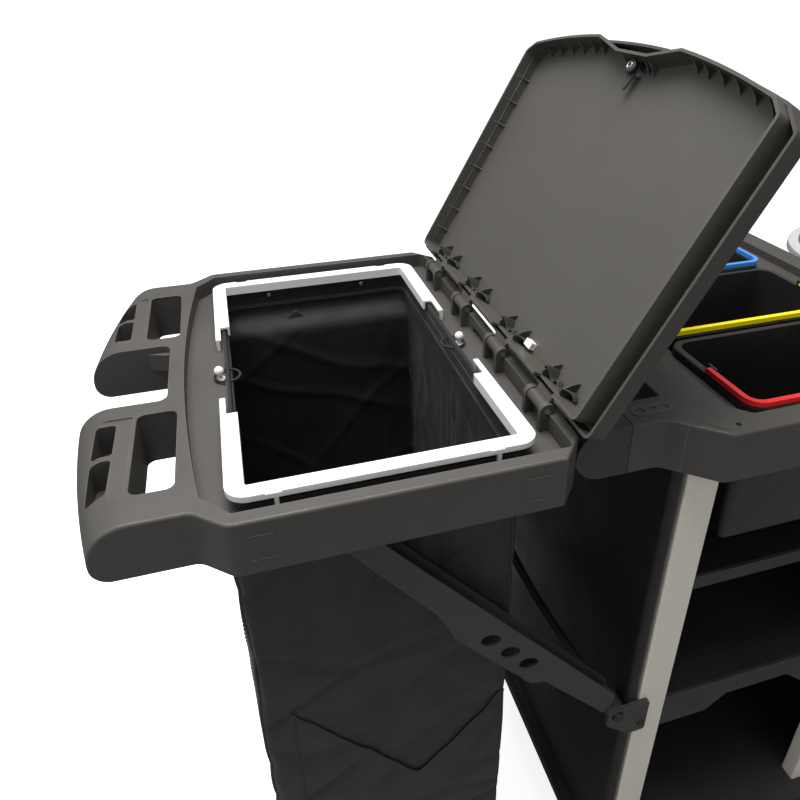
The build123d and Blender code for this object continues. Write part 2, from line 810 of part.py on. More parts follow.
def make_brace_arm(side):
    y = sorted((side * brace_y[0], side * brace_y[1]))
    skin = sorted((side * (brace_y[0] + arm_wall), side * (brace_y[1] - arm_wall)))
    lower = [*arm_edge, (-2, brace_length)]
    upper = [(24, brace_length), (22, brace_length - 95), (20, 30)]
    arm = profile(lower + upper, y)
    arm = fillet(arm.edges().filter_by(Axis.Y), 5)
    arm += rod_y(0, 0, arm_boss, y)
    end = brace_length - 8
    inside = [(x + arm_wall + 2, z) for x, z in arm_edge[1:]]
    arm -= profile([(-4, 26), *inside, (3, end), (60, end), (60, 26)], skin)
    face = side * brace_y[1]
    outer = sorted((face - side * 5, face + side))
    for z in arm_ovals:
        oval = Rot(0, 0, 25) * Ellipse(*arm_oval)
        hole = Pos(-4, 0, z) * Rot(90, 0, 0) * extrude(oval, 300, both=True)
        arm -= hole & block((-60, 60), outer, (-100, brace_length))
    arm -= rod_y(0, 0, brace_pin_radius + pin_gap, (-300, 300))
    return on_arm(arm)


def make_brace_crosspiece():
    y = brace_y[0]
    middle = ThreePointArc((2, -y), (-16, 0), (2, y))
    outer = ThreePointArc((9, -y), (-9, 0), (9, y))
    ends = [Line((2, -y), (9, -y)), Line((2, y), (9, y))]
    bar = make_face([*middle.edges(), *outer.edges(), *ends[0].edges(), *ends[1].edges()])
    return on_arm(extrude(Pos(0, 0, 16) * bar, 20))


def make_brace_bracket(side):
    y = sorted((side * post_face, side * (post_face + bracket_plate)))
    outline = [
        (brace_x - 14, brace_z + 10), (post_x + 12, brace_z + 14), (post_x + 12, brace_z - 44),
        (post_x - 12, brace_z - 44), (brace_x - 14, brace_z - 14),
    ]
    plate = profile(outline, y)
    plate = fillet(plate.edges().filter_by(Axis.Y), 5)
    plate -= rod_y(brace_x, brace_z, brace_pin_radius, (-300, 300))
    return plate - rod_y(post_x + 5, brace_z - rivet_drop, rivet_radius, (-300, 300))


def headed_pin(side, x, z, radius, inner, head):
    """A pin through the bracket, its head on the bracket's outer face."""
    face = post_face + bracket_plate
    shank = sorted((side * inner, side * face))
    cap = sorted((side * face, side * (face + head)))
    return rod_y(x, z, radius - pin_gap, shank) + rod_y(x, z, radius + 3, cap)


def make_brace_pins():
    pins = Part()
    for side in (-1, 1):
        pins += headed_pin(side, brace_x, brace_z, brace_pin_radius, brace_y[0] - 2, 3)
        pins += headed_pin(side, post_x + 5, brace_z - rivet_drop, rivet_radius, post_face + 0.5, 2)
    return pins


# ---------------------------------------------------------------- bins and tub


def make_bin(y):
    top = top_z - ledge_drop + ledge_thickness + bin_rim
    place = Pos(bin_x, y, top)
    body_size = (bin_size[0] - 12, bin_size[1] - 12)
    body = extrude(RectangleRounded(*body_size, 18), -bin_depth, taper=bin_taper)
    rim = extrude(RectangleRounded(*bin_size, 22), -bin_rim)
    rim = fillet(rim.edges().group_by(Axis.Z)[-1], 3)
    inner_size = [length - 2 * bin_wall for length in body_size]
    cavity = extrude(RectangleRounded(*inner_size, 16), -bin_depth + bin_wall, taper=bin_taper)
    under = extrude(RectangleRounded(bin_size[0] - 4, bin_size[1] - 4, 20), -bin_rim + 3)
    lip = Pos(0, 0, -3) * (under - extrude(RectangleRounded(*body_size, 18), -bin_rim + 3))
    shape = rim + body - cavity - lip
    ear_x = bin_size[0] / 2 - handle_section - running_gap
    for way in (-1, 1):
        x = sorted((way * (ear_x - 2.5), way * ear_x))
        shape += block(x, (-7, 7), (-bin_rim, handle_axis_rise + 4))
        shape -= rod_x(0, handle_axis_rise, 2, (way * ear_x - 6, way * ear_x + 3))
    return place * shape


def make_bin_handle(y):
    """A bail that lies on the near rim, its two pins in the bin's ears."""
    top = top_z - ledge_drop + ledge_thickness + bin_rim
    reach = bin_size[0] / 2 - handle_section
    drop = bin_size[1] / 2 - 1
    side = reach + handle_section
    bail = rounded((-side, side), (-drop, drop), bail_radius)
    inner = (handle_section - drop, drop - handle_section)
    bail -= rounded((-reach, reach), inner, bail_radius - handle_section)
    bail = bail & (Pos(0, -drop) * Rectangle(2 * side, 2 * drop))
    solid = extrude(Pos(0, 0, handle_axis_rise - handle_section / 2) * bail, handle_section)
    for way in (-1, 1):
        x = sorted((way * (reach - 4), way * (reach + 1)))
        solid += rod_x(0, handle_axis_rise, 2 - pin_gap, x)
        solid += rod_x(0, handle_axis_rise, handle_section / 2, sorted((way * reach, way * side)))
    return Pos(bin_x, y, top) * solid


def tub_plan(grow):
    size = [length + 2 * grow for length in tub_size]
    shrink = 2 * (top_z - deck_top) * math.tan(math.radians(tub_taper))
    return Pos(tub_x, 0) * RectangleRounded(size[0] - shrink, size[1] - shrink, tub_radius - shrink / 2)


def make_tub():
    top = top_z - 4
    height = top - deck_top + 3 - running_gap
    body_size = [length - 2 * tub_rim for length in tub_size]
    body = extrude(RectangleRounded(*body_size, tub_radius - tub_rim), -height, taper=tub_taper)
    rim = extrude(RectangleRounded(*tub_size, tub_radius), -tub_rim)
    rim = fillet(rim.edges().group_by(Axis.Z)[-1], 3)
    inner_size = [length - 2 * tub_wall for length in body_size]
    cavity = extrude(RectangleRounded(*inner_size, tub_radius - tub_rim - tub_wall), -height + tub_wall,
                     taper=tub_taper)
    under_size = [length - 2 * tub_wall for length in tub_size]
    under = extrude(RectangleRounded(*under_size, tub_radius - tub_wall), -tub_rim + tub_wall)
    under -= extrude(RectangleRounded(*body_size, tub_radius - tub_rim), -tub_rim + tub_wall)
    return Pos(tub_x, 0, top) * (rim + body - cavity - Pos(0, 0, -tub_wall) * under)


# ---------------------------------------------------------------- the whole cart


def build():
    pieces["base_deck"] = make_base_deck()
    pieces["edge_bumper"] = make_edge_bumper()
    pieces["caster_plates"] = make_caster_plates()
    sides = (("near", -1), ("far", 1))
    ends = (("left", caster_x[0]), ("right", caster_x[1]))
    for name, side, x in [(f"{row}_{end}", side, x) for end, x in ends for row, side in sides]:
        fork, axle = make_fork(x, side * caster_y)
        pieces["caster_fork_" + name] = fork
        pieces["caster_axle_" + name] = axle
        pieces["caster_wheel_" + name] = make_wheel(x, side * caster_y)
        if x == caster_x[0]:
            pieces["brake_pedal_" + name] = make_pedal(x, side * caster_y)
    for x, end in ((post_x, "left"), (right_post_x, "right")):
        pieces["post_near_" + end] = make_post(x, -1)
        pieces["post_far_" + end] = make_post(x, 1)
    pieces["end_panel_left"] = make_end_panel(frame_front_x, 1)
    pieces["end_panel_right"] = make_end_panel(right_post_x + post_width, -1)
    pieces["back_panel"] = make_back_panel()
    pieces["shelf_upper"] = make_shelf(top_z - 233, 19)
    pieces["shelf_lower"] = make_shelf_lower()
    frame = make_top_frame()
    pieces["top_frame"] = frame - arm_space(-1) - arm_space(1)
    pieces["frame_arm_near"] = frame & arm_space(-1)
    pieces["frame_arm_far"] = frame & arm_space(1)
    pieces["arm_badges"] = make_arm_badges()
    pieces["hatch_plates"] = make_hatch_plates()
    pieces["hinge_cap_near"] = make_hinge_cap(-1)
    pieces["hinge_cap_far"] = make_hinge_cap(1)
    pieces["fold_pins"] = make_fold_pins()
    pieces["platform_frame"] = make_platform_frame()
    pieces["brace_catches"] = make_brace_catches()
    pieces["ring_near"] = make_ring(-1, ring_lift)
    pieces["ring_far"] = make_ring(1, 0)
    pieces["bag_pegs"] = make_pegs()
    pieces["bag_loops"] = make_loops()
    pieces["bag"] = make_bag()
    pieces["lid_shell"] = make_lid_shell()
    pieces["lid_liner"] = make_lid_liner()
    pieces["lid_hinge_pins"] = make_lid_pins()
    pieces["lock_cylinder"] = make_lock_cylinder()
    pieces["lock_cam"] = make_lock_cam()
    pieces["lid_clip"] = make_lid_clip()
    pieces["brace_arm_near"] = make_brace_arm(-1)
    pieces["brace_arm_far"] = make_brace_arm(1)
    pieces["brace_crosspiece"] = make_brace_crosspiece()
    pieces["brace_bracket_near"] = make_brace_bracket(-1)
    pieces["brace_bracket_far"] = make_brace_bracket(1)
    pieces["brace_pins"] = make_brace_pins()
    for colour, y in zip(("red", "yellow", "blue"), bin_centres):
        pieces["bin_" + colour] = make_bin(y)
        pieces["bin_handle_" + colour] = make_bin_handle(y)
    pieces["waste_tub"] = make_tub()


build()
os.makedirs("parts", exist_ok=True)
for name, piece in pieces.items():
    export_step(Pos(-centre_x, 0, 0) * piece, f"parts/{name}.step")
print(len(pieces), "pieces written")
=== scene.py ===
import bpy, bmesh, math
from mathutils import Vector, Matrix, noise


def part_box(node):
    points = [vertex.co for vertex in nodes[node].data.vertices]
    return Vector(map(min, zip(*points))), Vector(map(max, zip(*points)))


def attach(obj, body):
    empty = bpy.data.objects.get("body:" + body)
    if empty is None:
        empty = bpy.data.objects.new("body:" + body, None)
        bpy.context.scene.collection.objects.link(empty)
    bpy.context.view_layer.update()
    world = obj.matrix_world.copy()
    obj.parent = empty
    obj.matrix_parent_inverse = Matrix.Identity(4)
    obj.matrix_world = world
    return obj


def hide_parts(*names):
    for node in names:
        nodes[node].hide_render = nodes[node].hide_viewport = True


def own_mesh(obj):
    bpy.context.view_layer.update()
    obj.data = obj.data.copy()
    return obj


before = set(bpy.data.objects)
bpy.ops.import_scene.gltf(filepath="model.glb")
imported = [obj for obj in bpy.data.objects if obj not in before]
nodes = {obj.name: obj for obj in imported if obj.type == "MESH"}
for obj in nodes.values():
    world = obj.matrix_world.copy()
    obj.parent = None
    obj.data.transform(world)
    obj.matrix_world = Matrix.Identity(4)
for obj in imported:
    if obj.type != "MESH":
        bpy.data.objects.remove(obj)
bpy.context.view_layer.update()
scene = bpy.context.scene
mm = 0.001

# places: x from the seam between platform and body, z from the top plane, in millimetres
seamX = 58
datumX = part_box("frame_arm_near")[0].x - seamX * mm
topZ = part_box("top_frame")[1].z
hingeX, hingeRise = -14, 3.5
lidTilt = math.radians(60)


def at(x, y, z):
    return Vector((datumX + x * mm, y * mm, topZ + z * mm))


def onLid(s, y, h):
    # A point on the open lid: s along it from the hinge, h towards its outer face.
    c, n = math.cos(lidTilt), math.sin(lidTilt)
    return at(hingeX + c * s + n * h, y, hingeRise + n * s - c * h)


lidFrame = Matrix(((math.cos(lidTilt), 0, math.sin(lidTilt)), (0, 1, 0),
                   (math.sin(lidTilt), 0, -math.cos(lidTilt))))

# camera, lights and floor

shot = dict(azimuth=-16.494, elevation=29.01, roll=-0.355, lens=31.284,
            shift=(-0.0396, -0.0636), place=(-285.156, -715.116, 391.121))


def makeCamera():
    data = bpy.data.cameras.new("shot")
    cam = bpy.data.objects.new("shot", data)
    scene.collection.objects.link(cam)
    az, el, roll = (math.radians(shot[k]) for k in ("azimuth", "elevation", "roll"))
    back = Vector((math.sin(az) * math.cos(el), -math.cos(az) * math.cos(el), math.sin(el)))
    right = (-back).cross(Vector((0, 0, 1))).normalized()
    up = right.cross(-back).normalized()
    turn = Matrix((right, up, back)).transposed() @ Matrix.Rotation(roll, 3, "Z")
    cam.matrix_world = Matrix.Translation(at(*shot["place"])) @ turn.to_4x4()
    data.lens, data.sensor_width = shot["lens"], 36
    data.shift_x, data.shift_y = shot["shift"]
    data.clip_start, data.clip_end = 0.05, 60
    scene.camera = cam
    print("camera placed")


def areaLight(name, place, aim, size, power, colour=(1, 1, 1)):
    data = bpy.data.lights.new(name, "AREA")
    data.shape, data.size, data.size_y = "RECTANGLE", size[0], size[1]
    data.energy, data.color = power, colour
    lamp = bpy.data.objects.new(name, data)
    scene.collection.objects.link(lamp)
    lamp.location = place
    lamp.rotation_euler = (Vector(aim) - Vector(place)).to_track_quat("-Z", "Y").to_euler()
    return lamp


def makeLights():
    world = bpy.data.worlds.new("studio")
    world.use_nodes = True
    tree = world.node_tree
    soft = tree.nodes["Background"]
    soft.inputs["Color"].default_value = (1, 1, 1, 1)
    soft.inputs["Strength"].default_value = 0.34
    white = tree.nodes.new("ShaderNodeBackground")
    white.inputs["Color"].default_value = (1, 1, 1, 1)
    white.inputs["Strength"].default_value = 1.05
    seen = tree.nodes.new("ShaderNodeLightPath")
    mix = tree.nodes.new("ShaderNodeMixShader")
    tree.links.new(seen.outputs["Is Camera Ray"], mix.inputs[0])
    tree.links.new(soft.outputs[0], mix.inputs[1])
    tree.links.new(white.outputs[0], mix.inputs[2])
    tree.links.new(mix.outputs[0], tree.nodes["World Output"].inputs["Surface"])
    scene.world = world
    scene.view_settings.view_transform = "Standard"
    areaLight("overhead", (-0.5, 0.1, 3.1), (-0.35, 0, 0.9), (2.0, 1.5), 92, (1, 0.98, 0.95))
    areaLight("leftSoft", (-3.0, 0.2, 2.3), (0, 0, 0.9), (1.8, 1.8), 20)
    areaLight("frontFill", (0.2, -3.4, 1.5), (0, 0, 0.7), (3.0, 1.6), 12)
    print("lights set")


def makeFloor():
    mesh = bpy.data.meshes.new("floor")
    half = 14.0
    corners = [(-half, -half, 0), (half, -half, 0), (half, half, 0), (-half, half, 0)]
    mesh.from_pydata(corners, [], [(0, 1, 2, 3)])
    floor = bpy.data.objects.new("floor", mesh)
    scene.collection.objects.link(floor)
    mat = bpy.data.materials.new("paleFloor")
    mat.use_nodes = True
    tree = mat.node_tree
    shader = tree.nodes["Principled BSDF"]
    shader.inputs["Base Color"].default_value = (0.95, 0.95, 0.95, 1)
    shader.inputs["Roughness"].default_value = 0.85
    shader.inputs["Emission Color"].default_value = (1, 1, 1, 1)
    shader.inputs["Emission Strength"].default_value = 0.8
    dim = tree.nodes.new("ShaderNodeBsdfDiffuse")
    dim.inputs["Color"].default_value = (0.3, 0.3, 0.3, 1)
    seen = tree.nodes.new("ShaderNodeLightPath")
    mix = tree.nodes.new("ShaderNodeMixShader")
    tree.links.new(seen.outputs["Is Camera Ray"], mix.inputs[0])
    tree.links.new(dim.outputs[0], mix.inputs[1])
    tree.links.new(shader.outputs[0], mix.inputs[2])
    tree.links.new(mix.outputs[0], tree.nodes["Material Output"].inputs["Surface"])
    mesh.materials.append(mat)


# finishes

class Sheet:
    # A material's node tree with short names for the nodes used most.

    def __init__(self, name):
        self.mat = bpy.data.materials.new(name)
        self.mat.use_nodes = True
        self.tree = self.mat.node_tree
        self.shader = self.tree.nodes["Principled BSDF"]
        self.coord = self.tree.nodes.new("ShaderNodeTexCoord").outputs["Object"]

    def link(self, a, b):
        self.tree.links.new(a, b)

    def scaled(self, factors):
        node = self.tree.nodes.new("ShaderNodeMapping")
        node.inputs["Scale"].default_value = factors
        self.link(self.coord, node.inputs["Vector"])
        return node.outputs["Vector"]

    def noise(self, scale, detail=2.0, rough=0.5, coord=None):
        node = self.tree.nodes.new("ShaderNodeTexNoise")
        node.inputs["Scale"].default_value = scale
        node.inputs["Detail"].default_value = detail
        node.inputs["Roughness"].default_value = rough
        self.link(coord or self.coord, node.inputs["Vector"])
        return node.outputs["Fac"]

    def spots(self, scale, coord=None):
        node = self.tree.nodes.new("ShaderNodeTexVoronoi")
        node.inputs["Scale"].default_value = scale
        self.link(coord or self.coord, node.inputs["Vector"])
        return node.outputs["Distance"]

    def wave(self, scale, direction, coord=None, warp=0.0):
        node = self.tree.nodes.new("ShaderNodeTexWave")
        node.bands_direction = direction
        node.inputs["Scale"].default_value = scale
        node.inputs["Distortion"].default_value = warp
        self.link(coord or self.coord, node.inputs["Vector"])
        return node.outputs["Fac"]

    def ramp(self, source, low, high, out=(0.0, 1.0)):
        node = self.tree.nodes.new("ShaderNodeMapRange")
        node.inputs["From Min"].default_value, node.inputs["From Max"].default_value = low, high
        node.inputs["To Min"].default_value, node.inputs["To Max"].default_value = out
        self.link(source, node.inputs["Value"])
        return node.outputs["Result"]

    def math(self, how, a, b):
        node = self.tree.nodes.new("ShaderNodeMath")
        node.operation = how
        for i, value in enumerate((a, b)):
            if isinstance(value, (int, float)):
                node.inputs[i].default_value = value
            else:
                self.link(value, node.inputs[i])
        return node.outputs[0]

    def blend(self, fac, a, b):
        node = self.tree.nodes.new("ShaderNodeMix")
        node.data_type = "RGBA"
        self.link(fac, node.inputs[0])
        for socket, value in ((node.inputs[6], a), (node.inputs[7], b)):
            if isinstance(value, tuple):
                socket.default_value = (*value, 1)
            else:
                self.link(value, socket)
        return node.outputs[2]

    def edges(self, radius):
        # 1 along sharp edges, 0 on flats.
        rounded = self.tree.nodes.new("ShaderNodeBevel")
        rounded.samples = 3
        rounded.inputs["Radius"].default_value = radius
        flat = self.tree.nodes.new("ShaderNodeNewGeometry")
        dot = self.tree.nodes.new("ShaderNodeVectorMath")
        dot.operation = "DOT_PRODUCT"
        self.link(rounded.outputs[0], dot.inputs[0])
        self.link(flat.outputs["Normal"], dot.inputs[1])
        return self.ramp(dot.outputs["Value"], 0.995, 0.86)

    def bump(self, height, distance, strength=1.0, under=None):
        node = self.tree.nodes.new("ShaderNodeBump")
        node.inputs["Distance"].default_value = distance
        node.inputs["Strength"].default_value = strength
        self.link(height, node.inputs["Height"])
        if under:
            self.link(under, node.inputs["Normal"])
        return node.outputs[0]

    def finish(self, colour, rough, normal=None, **fixed):
        self.link(colour, self.shader.inputs["Base Color"])
        self.link(rough, self.shader.inputs["Roughness"])
        if normal:
            self.link(normal, self.shader.inputs["Normal"])
        for key, value in fixed.items():
            self.shader.inputs[key.replace("_", " ")].default_value = value
        return self.mat


def mouldedPlastic(name, colour, pale, grain=0.00010, rough=(0.46, 0.6), scuff=0.35, wear=0.55):
    # Injection-moulded plastic: fine spark grain, cloudy tone, faint scuffs and paler worn edges.
    s = Sheet(name)
    cloud = s.ramp(s.noise(7, 4), 0.35, 0.7)
    fleck = s.ramp(s.noise(900, 2, 0.6), 0.4, 0.62)
    scratch = s.ramp(s.noise(60, 3, 0.65, s.scaled((1, 14, 3))), 0.62, 0.75, (0, scuff))
    worn = s.math("MULTIPLY", s.edges(0.0016), s.ramp(s.noise(45, 3), 0.35, 0.65, (0.35, 1)))
    worn = s.math("MULTIPLY", worn, wear)
    mark = s.math("MAXIMUM", worn, s.math("MULTIPLY", scratch, 0.5))
    deep = tuple(c * 0.84 for c in colour)
    tone = s.blend(cloud, deep, colour)
    tone = s.blend(s.math("MULTIPLY", fleck, 0.28), tone, tuple(c * 1.35 for c in colour))
    tone = s.blend(mark, tone, pale)
    gloss = s.math("ADD", s.ramp(s.noise(16, 3), 0.3, 0.7, rough), s.math("MULTIPLY", scratch, 0.08))
    leather = s.math("ADD", s.spots(760), s.math("MULTIPLY", s.noise(1500, 1), 0.6))
    return s.finish(tone, gloss, s.bump(leather, grain, 0.7))


def panelPlastic(name, colour, pale):
    # The lid's inner panel: the same plastic with a soft flow line pattern from the mould's gate.
    s = Sheet(name)
    flow = s.ramp(s.noise(3.2, 3, 0.5, s.scaled((1, 0.55, 1))), 0.32, 0.7)
    fine = s.ramp(s.noise(1100, 2), 0.4, 0.62)
    tone = s.blend(flow, tuple(c * 0.88 for c in colour), colour)
    tone = s.blend(s.math("MULTIPLY", fine, 0.22), tone, tuple(c * 1.3 for c in colour))
    rub = s.ramp(s.noise(90, 3, 0.6, s.scaled((9, 1, 1))), 0.66, 0.78, (0, 0.25))
    tone = s.blend(s.math("MAXIMUM", rub, s.math("MULTIPLY", s.edges(0.0012), 0.4)), tone, pale)
    return s.finish(tone, s.ramp(s.noise(11, 2), 0.3, 0.7, (0.42, 0.52)), s.bump(s.spots(900), 0.00006, 0.6))


def brushedAluminium(name):
    s = Sheet(name)
    lines = s.noise(240, 3, 0.7, s.scaled((6, 6, 0.12)))
    speck = s.ramp(s.noise(420, 2, 0.8), 0.7, 0.76)
    tone = s.blend(s.ramp(lines, 0.3, 0.7), (0.74, 0.7, 0.62), (0.86, 0.82, 0.74))
    tone = s.blend(s.math("MULTIPLY", speck, 0.5), tone, (0.35, 0.32, 0.27))
    rough = s.ramp(lines, 0.3, 0.7, (0.36, 0.5))
    return s.finish(tone, rough, s.bump(lines, 0.00006, 0.5), Metallic=0.12)


def platedSteel(name, colour=(0.55, 0.56, 0.57), rough=(0.22, 0.42)):
    s = Sheet(name)
    haze = s.noise(70, 4, 0.7)
    tone = s.blend(s.ramp(haze, 0.4, 0.7), tuple(c * 0.75 for c in colour), colour)
    tone = s.blend(s.math("MULTIPLY", s.edges(0.0008), 0.5), tone, (0.8, 0.8, 0.8))
    return s.finish(tone, s.ramp(haze, 0.3, 0.7, rough), s.bump(s.noise(500, 2), 0.00003, 0.6), Metallic=1.0)


def wheelRubber(name, colour, scale=320):
    s = Sheet(name)
    dust = s.ramp(s.noise(34, 5, 0.7), 0.45, 0.72)
    tone = s.blend(s.math("MULTIPLY", dust, 0.5), colour, tuple(min(1, c * 1.9 + 0.02) for c in colour))
    grain = s.noise(scale, 3, 0.6)
    return s.finish(tone, s.ramp(dust, 0, 1, (0.62, 0.8)), s.bump(grain, 0.00018, 0.7))


def glossyPlastic(name, colour, rough=(0.26, 0.4), wear=0.25, shade=0.9, glow=0.0):
    s = Sheet(name)
    tone = s.blend(s.ramp(s.noise(12, 3), 0.3, 0.7), tuple(c * shade for c in colour), colour)
    rub = s.ramp(s.noise(130, 3, 0.6, s.scaled((1, 5, 5))), 0.62, 0.76, (0, wear))
    tone = s.blend(rub, tone, tuple(c * 0.72 for c in colour))
    mat = s.finish(tone, s.ramp(s.noise(40, 3), 0.3, 0.7, rough), s.bump(s.noise(700, 2), 0.00003, 0.5))
    s.shader.inputs["Subsurface Weight"].default_value = glow
    s.shader.inputs["Subsurface Scale"].default_value = 0.004
    return mat


def coatedCloth(name, colour, paintedSheen):
    # Coated woven cloth: a fine square weave under a soft film, with creases that catch the light.
    s = Sheet(name)
    weaveA = s.wave(430, "X", warp=0.6)
    weaveB = s.wave(430, "Z", warp=0.6)
    weaveC = s.wave(430, "Y", warp=0.6)
    weave = s.math("ADD", s.math("MULTIPLY", weaveA, weaveB), s.math("MULTIPLY", weaveC, 0.6))
    crease = s.ramp(s.noise(14, 4, 0.55), 0.38, 0.66)
    # Broad patches of painted shade and painted light standing for folds: the cloth colour darkened and
    # lightened by noise.
    foldLightAndShade = s.ramp(s.noise(9, 4, 0.6), 0.35, 0.7)
    tone = s.blend(foldLightAndShade, tuple(c * 0.7 for c in colour), tuple(c * 1.25 for c in colour))
    # The weave's crests are painted towards a paler colour: a painted sheen.
    tone = s.blend(s.math("MULTIPLY", s.ramp(weave, 0.2, 1.1), 0.3), tone, paintedSheen)
    first = s.bump(crease, 0.0009, 0.4)
    return s.finish(tone, s.ramp(crease, 0, 1, (0.36, 0.56)), s.bump(weave, 0.00016, 0.55, first),
                    Sheen_Weight=0.06, Sheen_Roughness=0.5, Specular_IOR_Level=0.42)


def ribbedTape(name, colour, scale, direction):
    # Woven tape, zip teeth or elastic: close ribs across the strip.
    s = Sheet(name)
    ribs = s.wave(scale, direction)
    tone = s.blend(s.ramp(ribs, 0.2, 0.8), tuple(c * 0.6 for c in colour), colour)
    tone = s.blend(s.ramp(s.noise(300, 2), 0.5, 0.7, (0, 0.3)), tone, tuple(min(1, c * 2.2) for c in colour))
    return s.finish(tone, s.ramp(ribs, 0, 1, (0.5, 0.75)), s.bump(ribs, 0.0003, 0.8))


finishes = {}


def makeFinishes():
    warm = (0.058, 0.055, 0.051)
    f = finishes
    f["frame"] = mouldedPlastic("frameMoulding", warm, (0.17, 0.165, 0.155))
    f["lid"] = panelPlastic("lidPanel", (0.068, 0.065, 0.057), (0.2, 0.195, 0.18))
    f["lidOuter"] = mouldedPlastic("lidShellGrain", (0.05, 0.047, 0.043), (0.15, 0.145, 0.135))
    f["brace"] = mouldedPlastic("braceMoulding", (0.04, 0.039, 0.038), (0.14, 0.14, 0.135), wear=0.5)
    # The bins' colour is darkened: partly their black plastic, partly painted shade for their shaded insides.
    f["bin"] = mouldedPlastic("binPlasticPaintedShade", (0.016, 0.0155, 0.015), (0.09, 0.09, 0.09),
                              rough=(0.34, 0.46), wear=0.45)
    # The end and back panels' colour is darkened far below the frame's: partly black plastic, partly painted
    # shade for the cart's shaded inside.
    f["panel"] = mouldedPlastic("panelPlastic", (0.006, 0.0058, 0.0056), (0.05, 0.05, 0.05),
                                rough=(0.5, 0.62), wear=0.2)
    f["deck"] = mouldedPlastic("deckPlastic", (0.022, 0.0215, 0.021), (0.1, 0.1, 0.095),
                               grain=0.0002, scuff=0.6)
    f["cap"] = mouldedPlastic("hingeCapPlastic", (0.034, 0.033, 0.031), (0.12, 0.12, 0.115), wear=0.4)
    f["badge"] = mouldedPlastic("badgePlastic", (0.085, 0.082, 0.075), (0.22, 0.21, 0.2),
                                grain=0.00005, wear=0.7)
    f["rib"] = mouldedPlastic("ribEdges", (0.075, 0.073, 0.067), (0.26, 0.25, 0.23),
                              grain=0.00003, wear=0.9)
    f["blackened"] = platedSteel("blackenedSteel", (0.07, 0.07, 0.07), (0.35, 0.5))
    f["aluminium"] = brushedAluminium("brushedPost")
    f["steel"] = platedSteel("platedSteel")
    f["chrome"] = platedSteel("lockChrome", (0.72, 0.73, 0.75), (0.1, 0.22))
    f["tyre"] = wheelRubber("greyTyre", (0.11, 0.11, 0.112))
    f["bumper"] = wheelRubber("bumperRubber", (0.02, 0.02, 0.02))
    f["white"] = glossyPlastic("whiteRing", (0.8, 0.81, 0.82), (0.3, 0.42), 0.08, 0.97, 0.12)
    f["peg"] = glossyPlastic("pegNylon", (0.82, 0.81, 0.78), (0.25, 0.35), 0.06, 0.95, 0.25)
    f["red"] = glossyPlastic("redBail", (0.84, 0.03, 0.03))
    f["yellow"] = glossyPlastic("yellowBail", (1.0, 0.86, 0.0))
    f["blue"] = glossyPlastic("blueBail", (0.06, 0.27, 0.74))
    f["tub"] = glossyPlastic("greyTub", (0.5, 0.51, 0.52), (0.38, 0.5), 0.12)
    # The bag cloth's last colour is the painted sheen laid on the weave's crests.
    f["cloth"] = coatedCloth("bagCloth", (0.0105, 0.011, 0.012), (0.03, 0.031, 0.034))
    f["piping"] = ribbedTape("bagPiping", (0.035, 0.036, 0.04), 260, "Z")
    f["tape"] = ribbedTape("zipTape", (0.014, 0.014, 0.015), 330, "Z")
    f["elastic"] = ribbedTape("elasticCord", (0.02, 0.02, 0.022), 520, "Y")
    f["thread"] = ribbedTape("seamThread", (0.07, 0.072, 0.08), 900, "Z")
    print("finishes made", len(f))


def finishOf(name):
    rules = (
        ("lid_liner", "lid"), ("lid_shell", "lidOuter"), ("lid_hinge", "steel"), ("lid_clip", "peg"),
        ("lock_cam", "cap"), ("lock_", "chrome"), ("brace_pins", "blackened"), ("brace_", "brace"),
        ("bin_handle_red", "red"), ("bin_handle_yellow", "yellow"), ("bin_handle_blue", "blue"),
        ("bin_", "bin"), ("bag_pegs", "peg"), ("bag_loops", "elastic"), ("bag", "cloth"),
        ("ring_", "white"), ("post_", "aluminium"), ("fold_pins", "steel"), ("caster_wheel", "tyre"),
        ("caster_fork", "steel"), ("caster_axle", "steel"), ("caster_plates", "steel"),
        ("brake_", "frame"), ("base_deck", "deck"), ("edge_bumper", "bumper"), ("end_panel", "panel"),
        ("back_panel", "panel"), ("shelf_", "deck"), ("hinge_cap", "cap"), ("arm_badges", "badge"),
        ("waste_tub", "tub"),
    )
    for start, finish in rules:
        if name.startswith(start):
            return finishes[finish]
    return finishes["frame"]


def paintNodes():
    for name, node in nodes.items():
        mat = finishOf(name)
        if not node.material_slots:
            node.data.materials.append(mat)
        for entry in node.material_slots:
            entry.material = mat
    print("nodes painted", len(nodes))


# mesh helpers


def newPiece(name, mesh, body, finish, smooth=True):
    piece = bpy.data.objects.new(name, mesh)
    scene.collection.objects.link(piece)
    if finish:
        mesh.materials.clear()
        mesh.materials.append(finishes[finish])
    for face in mesh.polygons:
        face.use_smooth = smooth
    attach(piece, body)
    return piece


def tidyMesh(name, verts, faces):
    mesh = bpy.data.meshes.new(name)
    mesh.from_pydata([tuple(v) for v in verts], [], faces)
    bm = bmesh.new()
    bm.from_mesh(mesh)
    bmesh.ops.recalc_face_normals(bm, faces=bm.faces)
    bm.to_mesh(mesh)
    bm.free()
    return mesh


def gridFaces(rows, columns, closed):
    # Quads of a grid whose columns may wrap round.
    span = columns if closed else columns - 1
    return [(r * columns + c, r * columns + (c + 1) % columns,
             (r + 1) * columns + (c + 1) % columns, (r + 1) * columns + c)
            for r in range(rows - 1) for c in range(span)]


